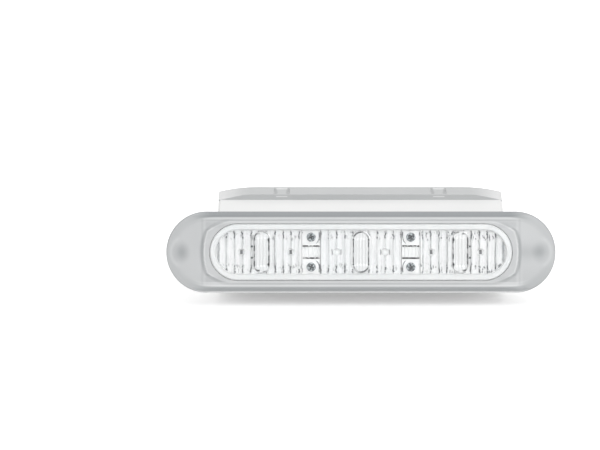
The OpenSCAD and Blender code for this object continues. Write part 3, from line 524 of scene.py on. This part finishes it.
def coverHeight(x, z):
    # how far forward the cover's front is: sloped edge, falling caps, raised island and dimples
    d = max(edgeDistance(x, z), 0)
    ax, az = abs(x), abs(z)
    capSlope = cover["capFall"] / cover["capLen"]
    ground = softMin(cover["face"], cover["face"] - (ax - cover["creaseX"]) * capSlope, cover["creaseBlend"])
    ground = softMin(ground, cover["sideTop"] + d, cover["bevelBlend"])
    top = cover["islandTop"]
    along = max(ax - cover["cornerFrom"], 0) / cover["cornerLen"]
    lean = cover["cornerH"] * cover["cornerPower"] / cover["cornerLen"] * along ** (cover["cornerPower"] - 1)
    cutIn = cover["cornerH"] * along ** cover["cornerPower"]  # how far the island's corner draws in
    pastSide = (az - cover["islandHalfH"] + cutIn) / math.hypot(1, lean)
    island = softMin(top, top - pastSide * cover["sideSlope"], cover["islandBlend"])
    pastEnd = ax - cover["islandHalf"] + cover["endBow"] * (az / cover["bowHalf"]) ** 2
    island = softMin(island, top - pastEnd * cover["endSlope"], cover["islandBlend"])
    height = softMax(ground, island, cover["footBlend"])
    roll = cover["edgeRoll"]
    if d < roll:
        height -= roll - math.sqrt(roll * roll - (roll - d) ** 2)
    fromBoss = math.hypot(ax - cover["bossX"], z) / cover["dimpleR"]
    if fromBoss < 1:
        height -= cover["dimpleDepth"] * (1 - fromBoss ** 2) ** 2
    return height


# In the two dictionaries of the cover's painted shade and painted highlights, a line is its strength, centre
# and width.
coverShades = {
    "probe": 0.3, "wallTop": 4, "lowerFrom": (-4, 4), "capFrom": (68, 80),
    "topBand": (0.15, 2.65), "bottomBand": (0.62, 2.8), "bandTop": 0.8, "bandBottom": 0.5, "capBand": 0.14,
    "bandRise": (-0.15, 0.2), "bandSoft": 0.25, "capSoft": 2.5,
    "footFrom": 3.4, "foot": 0.18, "hollow": (0.15, 1.2), "footLine": (0.24, 4.2, 0.35),
    "endSlope": 0.32, "steep": (0.35, 0.7), "endFrom": (69, 71), "crease": (0.15, 73.3, 0.4),
    "wedge": 0.15, "wedgeAlong": (61, 67, 71, 73), "wedgeIn": (4.5, 5.4, 6.6, 8),
    "dimple": 0.5, "dimpleHalf": (3.2, 4.2), "dimpleFrom": (1.55, 0), "capEdge": 0.3, "capEdgeIn": (0.6, 0.2),
    "rightCap": (73.5, 75.5), "rightShade": (0.26, 0, 3.7), "rightShadeFrom": (83.5, 78),
    "lowShade": 0.13, "lowFrom": (-2, -14),
}
coverHighlights = {
    "ridgeFrom": 2.9, "ridge": 0.16, "sharp": (0.4, 1.2), "endGain": 1.5, "endFrom": (66, 70),
    "bandLine": (0.2, 3.15, 0.3), "lowerLines": ((0.25, 4.6, 0.35), (0.35, 3.55, 0.5)),
    "faceLine": (0.08, 72.1, 0.35), "faceFrom": (3.2, 4.2),
    "halo": (0.17, 4.9, 0.8), "haloTall": 1.3, "haloFrom": (0, 2.5), "collar": 1.0, "collarIn": (0.75, 0.5),
}


def shadeOf(x, z, d, slope, curve, under, onCap):
    # painted shade: slopes and hollows are darker, and so are the bevel bands, creases, dimples and the cap
    # edges
    low, high = (a + (b - a) * under for a, b in zip(coverShades["topBand"], coverShades["bottomBand"]))
    full = coverShades["bandTop"] + (coverShades["bandBottom"] - coverShades["bandTop"]) * under
    band = full + (coverShades["capBand"] - full) * onCap
    rise, soft = coverShades["bandRise"], coverShades["bandSoft"]
    fade, end = high - soft, high + soft + coverShades["capSoft"] * onCap
    tone = band * bandBetween(low + rise[0], low + rise[1], fade, end, d)
    if d > coverShades["footFrom"]:
        steep = stepBetween(*coverShades["steep"], slope)
        tone += coverShades["endSlope"] * steep * stepBetween(*coverShades["endFrom"], abs(x))
        tone += coverShades["foot"] * stepBetween(*coverShades["hollow"], curve)
        onWedge = bandBetween(*coverShades["wedgeAlong"], abs(x)) * bandBetween(*coverShades["wedgeIn"], d)
        tone += coverShades["wedge"] * onWedge
        tone += softLine(abs(x), *coverShades["crease"])
        tone += softLine(d, *coverShades["footLine"]) * (1 - onCap) * (1 - under)
    halfX, halfZ = coverShades["dimpleHalf"]
    spread = math.hypot((abs(x) - cover["bossX"]) / halfX, z / halfZ)
    tone += coverShades["dimple"] * stepBetween(*coverShades["dimpleFrom"], spread)
    # painted shade across the right cap, which also gets darker towards its bottom
    rightShade = softLine(z, *coverShades["rightShade"]) * stepBetween(*coverShades["rightShadeFrom"], x)
    lowShade = coverShades["lowShade"] * stepBetween(*coverShades["lowFrom"], z)
    tone += stepBetween(*coverShades["rightCap"], x) * (rightShade + lowShade)
    return tone + coverShades["capEdge"] * onCap * stepBetween(*coverShades["capEdgeIn"], d)


def highlightOf(x, z, d, curve, under, onCap):
    # painted highlights: ridges are lighter, and so are the lower collar and the outer side of each dimple
    gain = 1 + coverHighlights["endGain"] * stepBetween(*coverHighlights["endFrom"], abs(x))
    sharp = stepBetween(*coverHighlights["sharp"], -curve) if d > coverHighlights["ridgeFrom"] else 0
    glow = coverHighlights["ridge"] * gain * sharp
    glow += softLine(d, *coverHighlights["bandLine"]) * (1 - onCap)
    glow += softLine(abs(x), *coverHighlights["faceLine"]) * stepBetween(*coverHighlights["faceFrom"], d)
    glow += under * sum(softLine(d, *line) for line in coverHighlights["lowerLines"]) * (1 - onCap)
    pastBoss = abs(x) - cover["bossX"]
    halo = math.hypot(pastBoss, z / coverHighlights["haloTall"])
    glow += softLine(halo, *coverHighlights["halo"]) * stepBetween(*coverHighlights["haloFrom"], pastBoss)
    return glow + coverHighlights["collar"] * under * stepBetween(*coverHighlights["collarIn"], d) * (1 - onCap)


def paintCoverShading(bm):
    # painted shade and painted highlights, kept on each vertex of the cover's front
    dark = bm.verts.layers.float.new("edgeTone")
    light = bm.verts.layers.float.new("paintedHighlight")
    e = coverShades["probe"]
    for v in bm.verts:
        x, z = v.co.x, v.co.z
        d = edgeDistance(x, z)
        if -v.co.y < coverShades["wallTop"]:
            continue
        right, left = coverHeight(x + e, z), coverHeight(x - e, z)
        above, below = coverHeight(x, z + e), coverHeight(x, z - e)
        slope = math.hypot(right - left, above - below) / (2 * e)
        curve = (right + left + above + below - 4 * coverHeight(x, z)) / (e * e)
        under = stepBetween(*coverShades["lowerFrom"], -z)
        onCap = stepBetween(*coverShades["capFrom"], abs(x))
        v[dark] = min(1, shadeOf(x, z, d, slope, curve, under, onCap))
        v[light] = min(1, highlightOf(x, z, d, curve, under, onCap))


def buildCover():
    outline, inner, steps = (cover["half"], cover["r"]), cover["bandSteps"][-1], cover["fieldSteps"]
    rings = [ringAt(outline, -d, coverHeight) for d in cover["bandSteps"]]
    for t in (i / steps for i in range(1, steps + 1)):
        half, r = ((a - inner) * (1 - t) + b * t for a, b in zip(outline, cover["opening"]))
        rings.append((half, r, coverHeight))
    floor = cover["pocketFloor"]
    rings += [(*cover["opening"], cover["ledge"]), (*cover["frame"], cover["ledge"]), (*cover["frame"], floor),
              (*cover["pocket"], floor), (*cover["pocket"], 0)]
    rings += [ringAt(outline, out, forward) for out, forward in cover["rearEdge"]]
    bm = ringLoft(rings, *cover["around"])
    paintCoverShading(bm)
    piece = finishPiece("coverShell", bm, "cover_plastic", cover["sharpAngle"])
    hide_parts("cover")
    return piece


coverShell = buildCover()
print("cover:", len(coverShell.data.polygons), "faces")

lens = {
    "half": 69.7, "r": 12.9, "closeFit": 0.24, "front": 11.0, "edge": 0.7, "flange": 1.55, "gasketSeat": 8.0,
    "flangeBack": 6.8, "rimWall": 0.1, "rimSkin": 0.4, "window": (67.15, 10.35),
    "edgeAngles": (75, 60, 45, 30, 15, 0), "frontSteps": (3.0, 6.0, 9.0, 10.5, 11.6),
    "rearSteps": (10.0, 6.0, 3.0), "around": (90, 72), "sharpAngle": 30,
}
rim = {
    "back": 1.8, "footOut": 1.35, "footTop": 6.75, "gap": 0.05, "softR": 0.3,
    "fillerIn": 0.31, "fillerFrom": 3.35, "fillerTo": 8.45, "around": (60, 72), "sharpAngle": 30,
}


def buildLens():
    half, r = lens["half"] + lens["closeFit"], lens["r"] + lens["closeFit"]
    outline, spine = (half, r), (half - r, 0)
    front, under = lens["front"], lens["front"] - lens["rimSkin"]
    rings = [ringAt(spine, k, front) for k in (poleR, *lens["frontSteps"], r - lens["edge"])]
    rings += roundedEdge(outline, lens["edge"], front, lens["edgeAngles"])
    rings += [ringAt(outline, out, forward) for out, forward in (
        (0, lens["gasketSeat"]), (lens["flange"], lens["gasketSeat"]), (lens["flange"], lens["flangeBack"]),
        (-lens["rimWall"], lens["flangeBack"]), (-lens["rimWall"], under))]
    rings += [ringAt(spine, k, under) for k in (*lens["rearSteps"], poleR)]
    bm = ringLoft(rings, *lens["around"], closed=False)
    piece = finishPiece("lensShell", bm, "clear_lens", lens["sharpAngle"])
    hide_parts("lens")
    return piece


def buildRim():
    # the white ring that fills the lens's solid rim from behind
    gap, soft, inset = rim["gap"], rim["softR"], -rim["fillerIn"]
    top = lens["front"] - lens["rimSkin"] - gap
    foot = (lens["half"] + rim["footOut"], lens["r"] + rim["footOut"])
    wall = (lens["half"] - lens["rimWall"] - gap, lens["r"] - lens["rimWall"] - gap)
    window = (lens["window"][0] + gap, lens["window"][1] + gap)
    rings = [ringAt(outline, out, forward) for outline, out, forward in (
        (window, 0, rim["back"]), (foot, 0, rim["back"]), (foot, 0, rim["footTop"]), (wall, 0, rim["footTop"]),
        (wall, 0, top - soft), (wall, -soft, top), (window, soft, top), (window, 0, top - soft),
        (window, 0, rim["fillerTo"]), (window, inset, rim["fillerTo"]), (window, inset, rim["fillerFrom"]),
        (window, 0, rim["fillerFrom"]))]
    piece = finishPiece("rimRing", ringLoft(rings, *rim["around"]), "frame_plastic", rim["sharpAngle"])
    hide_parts("inner_frame")


lensShell = buildLens()
buildRim()
print("lens:", len(lensShell.data.polygons), "faces, with its white rim")

lightBar = {
    "places": {"left": (-45.9, 3.7), "middle": (0.0, 4.5), "right": (45.9, 3.7)},
    "half": 9.55, "back": 5.6, "front": 8.9, "edge": 0.3, "edgeAngles": (22, 45, 68),
    "skirt": (0.24, 8.0), "skirtStep": 0.05, "fieldSteps": 34, "around": (60, 44), "sharpAngle": 30,
    "flutePitch": 1.5, "fluteHalf": 0.58, "fluteDepth": 0.18, "fluteEnd": 0.7,
    "streak": 0.26, "streakFrom": (0.6, 1), "streakIn": 0.9, "faceDepth": 0.7,
    "line": (0.22, 0.42), "sideLine": (0.3, 0.48), "lineTone": 0.95, "lineBreaks": (0.3, 0.6, 0.5),
    "lobes": ((-1.45, 1.85, 8.55), (1.3, 2.1, 9.15)), "middleLobe": (0.0, 3.5, 9.2), "lobeShown": (-0.9, -0.3),
    "waves": ((1.3, 0, 0.9), (0.37, 0.8, 2)),  # how each changes along a bar, across it and from bar to bar
    "spotZ": 5.7, "spotR": 0.55, "sideSpotR": 0.9, "spotTall": 1.3, "spotCore": 0.5,
}


def barLine(along, across, side):
    # how dark a place on a bar's front is: painted shade along the broken outlines of its lobes, and dark spots
    # beside them
    lobes = lightBar["lobes"] if side else [lightBar["middleLobe"]]
    thin, wide = lightBar["sideLine" if side else "line"]
    tone = 0
    for centre, r, half in lobes:
        free = across - centre  # the side of the lobe that isn't inside the other one
        off = math.hypot(max(abs(along) - (half - r), 0), free) - r
        shown = stepBetween(*lightBar["lobeShown"], free * math.copysign(1, centre)) if side else 1
        tone = max(tone, shown * stepBetween(wide, thin, abs(off)))
    wave = 0.5 + 0.5 * math.prod(math.sin(a * along + b * across + c * side) for a, b, c in lightBar["waves"])
    low, high, least = lightBar["lineBreaks"]
    tone *= lightBar["lineTone"] * (least + (1 - least) * stepBetween(low, high, wave))
    spotR = lightBar["sideSpotR" if side else "spotR"]
    edges = [lobes[-1][0] + lobes[-1][1]] + ([] if side else [-lobes[0][1]])
    for edge in edges:
        away = math.hypot((abs(along) - lightBar["spotZ"]) / lightBar["spotTall"], across - edge)
        tone = max(tone, stepBetween(spotR, spotR * lightBar["spotCore"], away))
    return tone


def buildLightBar(name, x, r):
    half, back, face, edge, pitch = (lightBar[key] for key in ("half", "back", "front", "edge", "flutePitch"))
    count = math.floor(2 * r / pitch) - 1
    outline, spine = (half, r), (half - r, 0)

    def front(along, across):
        nearest = min(abs(across - (i - (count - 1) / 2) * pitch) for i in range(count))
        ends = stepBetween(0, 1, half - lightBar["fluteEnd"] * r - abs(along))
        return face - ends * lightBar["fluteDepth"] * max(0, 1 - (nearest / lightBar["fluteHalf"]) ** 2)

    skirt, skirtTop = lightBar["skirt"]  # it nearly fills the slot in the reflector
    rings = [ringAt(spine, poleR, back), ringAt(outline, skirt, back), ringAt(outline, skirt, skirtTop),
             ringAt(outline, 0, skirtTop + lightBar["skirtStep"]), ringAt(outline, 0, face - edge)]
    rings += roundedEdge(outline, edge, face, lightBar["edgeAngles"])
    steps = lightBar["fieldSteps"]
    rings += [ringAt(outline, -edge - (r - edge) * i / steps, front) for i in range(steps)]
    rings.append(ringAt(spine, poleR, front))
    bm = ringLoft(rings, *lightBar["around"], closed=False)
    side = -math.copysign(1, x) if x else 0  # which way the lamp's middle lies

    def toneAt(along, forward, across):
        if forward <= face - lightBar["faceDepth"]:
            return 0
        # painted shade along the ridges between the bar's flutes
        ridge = abs((across / pitch + count / 2) % 1 - 0.5) * 2  # 1 on the ridges between flutes
        inside = r - math.hypot(max(abs(along) - spine[0], 0), across) > lightBar["streakIn"]
        streak = lightBar["streak"] * stepBetween(*lightBar["streakFrom"], ridge if inside else 0)
        return min(1, max(barLine(along, across * (side or 1), side), streak))

    paintVerts(bm, toneAt)
    bmesh.ops.rotate(bm, cent=(0, 0, 0), matrix=Matrix.Rotation(math.radians(90), 3, "Y"), verts=bm.verts)
    bmesh.ops.translate(bm, vec=(x, 0, 0), verts=bm.verts)
    piece = finishPiece("lightBar_" + name, bm, "light_bar_acrylic", lightBar["sharpAngle"])
    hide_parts("light_bar_" + name)


for side, (x, r) in lightBar["places"].items():
    buildLightBar(side, x, r)
print("light bars:", len(lightBar["places"]))

chip = {
    "places": (-55.2, -32.4, -11.2, 11.2, 32.4, 55.2), "markedFrom": 20,  # the middle pair has no dark X mark
    "board": 3.2, "package": 0.7, "half": 1.4, "packageEdge": 0.1, "sunk": 0.02, "neckR": 1.1,
    "mouthR": 1.52, "mouth": 7.5, "crown": 0.25, "lipDrop": 1.3, "fieldSteps": 16, "around": (1, 24),
    "markBlock": (0.5, 0.9), "armReach": (0.98, 1.4), "armHalf": 0.12, "armSoft": 0.25, "faint": 0.11,
    "groove": 0.12, "slack": 0.05, "markTone": 0.9, "sharpAngle": 40,
}


def chipXMark(x, z):
    # 1 on the dark middle of a chip's X mark, less on its four thinning arms at the corners, 0 away from them
    reachX, reachZ = chip["armReach"]
    out = max(abs(x) / reachX, abs(z) / reachZ)
    if out > 1:
        return 0
    armLine = abs(abs(x) * reachZ - abs(z) * reachX) / math.hypot(reachX, reachZ) + chip["faint"] * (1 + out)
    markBlock = max(abs(x) - chip["markBlock"][0], abs(z) - chip["markBlock"][1]) + chip["armHalf"]
    return 1 - stepBetween(chip["armHalf"], chip["armHalf"] + chip["armSoft"], min(armLine, markBlock))


def buildChip(index, x0):
    marked = abs(x0) > chip["markedFrom"]
    top, mouth, crown, steps = chip["board"] + chip["package"], chip["mouth"], chip["crown"], chip["fieldSteps"]
    foot = top - chip["sunk"]

    def lensFront(x, z):
        groove = chip["groove"] * chipXMark(x, z) if marked else 0
        return mouth - crown * (math.hypot(x, z) / chip["mouthR"]) ** 2 - groove

    def toneAt(x, forward, z):
        onFront = forward > mouth - crown - chip["groove"] - chip["slack"]
        return chip["markTone"] * chipXMark(x, z) if marked and onFront else 0

    rings = [ringAt(centrePoint, max(poleR, chip["mouthR"] * i / steps), lensFront) for i in range(steps)]
    rings += [ringAt(centrePoint, r, forward) for r, forward in (
        (chip["mouthR"], mouth - crown * chip["lipDrop"]), (chip["neckR"], foot), (poleR, foot))]
    bm = ringLoft(rings, *chip["around"], closed=False)
    paintVerts(bm, toneAt)
    place = (Matrix.Translation((0, -(chip["board"] + top) / 2, 0))
             @ Matrix.Diagonal((2 * chip["half"], chip["package"], 2 * chip["half"], 1)))
    package = bmesh.ops.create_cube(bm, size=1, matrix=place)["verts"]
    edges = list({edge for v in package for edge in v.link_edges})
    bmesh.ops.bevel(bm, geom=edges, offset=chip["packageEdge"], segments=2, profile=0.5, affect="EDGES",
                    material=-1)
    bmesh.ops.translate(bm, vec=(x0, 0, 0), verts=bm.verts)
    piece = finishPiece("chip_" + str(index), bm, "led_package", chip["sharpAngle"])
    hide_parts("led_" + str(index))


for index, x0 in enumerate(chip["places"], 1):
    buildChip(index, x0)

screw = {
    "x": 23.0, "z": 6.9, "turns": {(-1, 1): 20, (-1, -1): 65, (1, 1): 38, (1, -1): 5},  # degrees, by corner
    "headR": 2.1, "seat": 8.0, "front": 8.9, "crown": 0.2, "edge": 0.2, "lip": 0.05, "shankR": 1.05, "tip": 0.4,
    "armHalf": 0.26, "armSoft": 0.16, "armReach": 1.35, "recess": 0.5, "fieldSteps": 18, "around": (1, 28),
}


def crossMark(x, z, turn):
    # 1 in the cross recess of a turned screw head, 0 away from it
    cosT, sinT = math.cos(math.radians(turn)), math.sin(math.radians(turn))
    u, w = abs(x * cosT + z * sinT), abs(z * cosT - x * sinT)
    off = min(u, w) if max(u, w) < screw["armReach"] else 1
    return 1 - stepBetween(screw["armHalf"], screw["armHalf"] + screw["armSoft"], off)


def buildBridgeScrews():
    bm = bmesh.new()
    r, edge, seat, steps = screw["headR"], screw["edge"], screw["seat"], screw["fieldSteps"]
    rimTop = screw["front"] - screw["crown"]
    for (side, up), turn in screw["turns"].items():

        def headFront(x, z):
            crown = screw["crown"] * (math.hypot(x, z) / r) ** 2
            return screw["front"] - crown - screw["recess"] * crossMark(x, z, turn)

        rings = [ringAt(centrePoint, max(poleR, (r - edge) * i / steps), headFront) for i in range(steps + 1)]
        rings += [ringAt(centrePoint, out, forward) for out, forward in (
            (r - screw["lip"], rimTop - edge / 2), (r, rimTop - edge), (r, seat), (screw["shankR"], seat),
            (screw["shankR"], screw["tip"]), (poleR, screw["tip"]))]
        one = ringLoft(rings, *screw["around"], closed=False)
        # painted shade in the cross recess of each screw head
        paintVerts(one, lambda x, forward, z: crossMark(x, z, turn) if forward > seat + screw["lip"] else 0)
        bmesh.ops.translate(one, vec=(side * screw["x"], 0, up * screw["z"]), verts=one.verts)
        joined = bpy.data.meshes.new("screwPart")
        one.to_mesh(joined)
        one.free()
        bm.from_mesh(joined)
        bpy.data.meshes.remove(joined)
    piece = finishPiece("bridgeScrewSet", bm, "dark_screw_steel")
    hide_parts("bridge_screws")


buildBridgeScrews()
print("chips and bridge screws:", len(chip["places"]), "and", len(screw["turns"]))

housing = {
    "weld": 2e-6, "flatAngle": 0.6, "edgeSegments": 3, "edgeAngle": 28, "shellEdge": 0.35, "clipEdge": 0.08,
    "clipX": 36.7, "clipHalf": 3.4, "clipOverlap": 0.5,  # the clips fill their notches to the rounded edges
    "riserTone": 0.42, "riserFacing": -0.9, "riserFrom": -0.012,
}


def softEdged(name, node, slot, width):
    # replaces a CAD node by its own form with rounded edges
    bm = bmesh.new()
    bm.from_mesh(frame["nodes"][node].data)
    bmesh.ops.remove_doubles(bm, verts=bm.verts, dist=housing["weld"])
    bmesh.ops.dissolve_limit(bm, angle_limit=math.radians(housing["flatAngle"]), verts=bm.verts, edges=bm.edges)
    piece = finishPiece(name, bm, slot, toRow=None)
    soften = piece.modifiers.new("softEdges", "BEVEL")
    soften.width = width / perMetre
    soften.segments = housing["edgeSegments"]
    soften.limit_method = "ANGLE"
    soften.angle_limit = math.radians(housing["edgeAngle"])
    soften.miter_outer = "MITER_ARC"
    soften.harden_normals = True
    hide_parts(node)
    return piece


def shadeRiser(piece):
    # painted shade: the face that looks forward, in front of the base's shoulders, is darker
    tone = piece.data.attributes.new("edgeTone", "FLOAT", "FACE")
    for face in piece.data.polygons:
        onRiser = face.normal.y < housing["riserFacing"] and face.center.y < housing["riserFrom"]
        tone.data[face.index].value = housing["riserTone"] if onRiser else 0


softEdged("bodyShell", "body", "body_plastic", housing["shellEdge"])
baseShell = softEdged("baseShell", "base", "base_plastic", housing["shellEdge"])
shadeRiser(baseShell)
for place in ("upper_left", "upper_right", "lower_left", "lower_right"):
    clip = softEdged("clip_" + place + "_soft", "clip_" + place, "clip_plastic", housing["clipEdge"])
    middle = math.copysign(housing["clipX"], sum(v.co.x for v in clip.data.vertices)) / perMetre
    half, wide = housing["clipHalf"], housing["clipHalf"] + housing["clipOverlap"]
    for v in clip.data.vertices:
        v.co.x = middle + (v.co.x - middle) * wide / half
    shadeRiser(clip)
print("housing: body, base and four clips")

for entry in frame["record"]["subparts"]:
    node = frame["nodes"][entry["node"]]
    node.data.materials.clear()
    node.data.materials.append(materials[entry["material_slot"]])

studio = {
    "floorZ": -0.0238, "floorSize": 9.0, "floorColour": (0.9, 0.9, 0.9, 1), "floorRough": 0.9,
    "floorGloss": 0.1, "near": 0.09, "farAway": 0.45, "nearLift": 0.35, "white": (1, 1, 1, 1),
    "front": 0.98, "back": 0.52, "frontFade": (0.35, -0.75),  # the world's light from in front and behind
}


def seenDirectly(tree):
    # 1 for rays that show the background: from the camera, off gloss or through the clear lens
    rays = addNode(tree, "LightPath").outputs
    return mathNode(tree, "MAXIMUM", rays["Is Camera Ray"], mathNode(tree, "MAXIMUM", rays["Is Glossy Ray"],
                    rays["Is Transmission Ray"]))


def floorMaterial():
    # a pale matt floor that fades to plain white away from the lamp
    mat = bpy.data.materials.new("studioFloor")
    mat.use_nodes = True
    tree = mat.node_tree
    away = addNode(tree, "VectorMath", {0: objectCoords(tree)}, operation="LENGTH").outputs["Value"]
    fade = rampNode(tree, away, studio["near"], studio["farAway"], studio["nearLift"])
    setInputs(tree, tree.nodes["Principled BSDF"], {
        "Base Color": studio["floorColour"], "Roughness": studio["floorRough"],
        "Specular IOR Level": studio["floorGloss"], "Emission Color": studio["white"],
        "Emission Strength": product(tree, seenDirectly(tree), fade)})
    return mat


def buildFloor():
    bm = bmesh.new()
    bmesh.ops.create_grid(bm, x_segments=4, y_segments=4, size=studio["floorSize"] / 2)
    bmesh.ops.translate(bm, vec=(0, 0, studio["floorZ"]), verts=bm.verts)
    mesh = bpy.data.meshes.new("studioFloor")
    bm.to_mesh(mesh)
    bm.free()
    mesh.materials.append(floorMaterial())
    floor = bpy.data.objects.new("studioFloor", mesh)
    bpy.context.scene.collection.objects.link(floor)


def buildWorld():
    # even light from in front, less from behind, and plain white where the background shows
    world = bpy.data.worlds.new("softStudio")
    bpy.context.scene.world = world
    world.use_nodes = True
    tree = world.node_tree
    split = addNode(tree, "SeparateXYZ", {"Vector": addNode(tree, "TexCoord").outputs["Generated"]})
    light = rampNode(tree, split.outputs["Y"], *studio["frontFade"], studio["back"], studio["front"])
    choose = addNode(tree, "Mix", {"Factor": seenDirectly(tree), "A": light, "B": 1.0}, data_type="FLOAT")
    setInputs(tree, tree.nodes["Background"], {"Color": studio["white"], "Strength": choose.outputs["Result"]})


buildFloor()
buildWorld()

lamps = {
    "frontBox": {"place": (0.5, -1.05, 0.85), "aim": (0, -0.04, 0), "size": 1.0, "watts": 4.7},
    "topBox": {"place": (0, 0.25, 1.2), "aim": (0, -0.03, 0), "size": 0.9, "watts": 2.6},
}
for name, spec in lamps.items():
    light = bpy.data.lights.new(name, "AREA")
    light.shape = "SQUARE"
    light.size = spec["size"]
    light.energy = spec["watts"]
    lamp = bpy.data.objects.new(name, light)
    lamp.location = spec["place"]
    lamp.rotation_euler = (Vector(spec["aim"]) - Vector(spec["place"])).to_track_quat("-Z", "Y").to_euler()
    bpy.context.scene.collection.objects.link(lamp)

view = {
    "elevation": 10.0, "distance": 2.6, "frameWidth": 0.2769, "sensor": 36, "clip": (0.05, 50),
    "coverPoint": (0, -0.0503, 0.0016), "coverShift": (0.02815, 0.01255),  # the cover's middle, and its shift
}


def placeCamera():
    e = math.radians(view["elevation"])
    forward = Vector((0, math.cos(e), -math.sin(e)))
    up = Vector((0, math.sin(e), math.cos(e)))
    data = bpy.data.cameras.new("photoCamera")
    data.sensor_width = view["sensor"]
    data.lens = view["sensor"] * view["distance"] / view["frameWidth"]
    data.clip_start, data.clip_end = view["clip"]
    camera = bpy.data.objects.new("photoCamera", data)
    centre = Vector(view["coverPoint"]) - Vector((view["coverShift"][0], 0, 0)) + up * view["coverShift"][1]
    camera.location = centre - forward * view["distance"]
    camera.rotation_euler = forward.to_track_quat("-Z", "Y").to_euler()
    bpy.context.scene.collection.objects.link(camera)
    bpy.context.scene.camera = camera


placeCamera()
bpy.context.scene.view_settings.view_transform = "Standard"
print("studio: floor, world, lamps and camera")
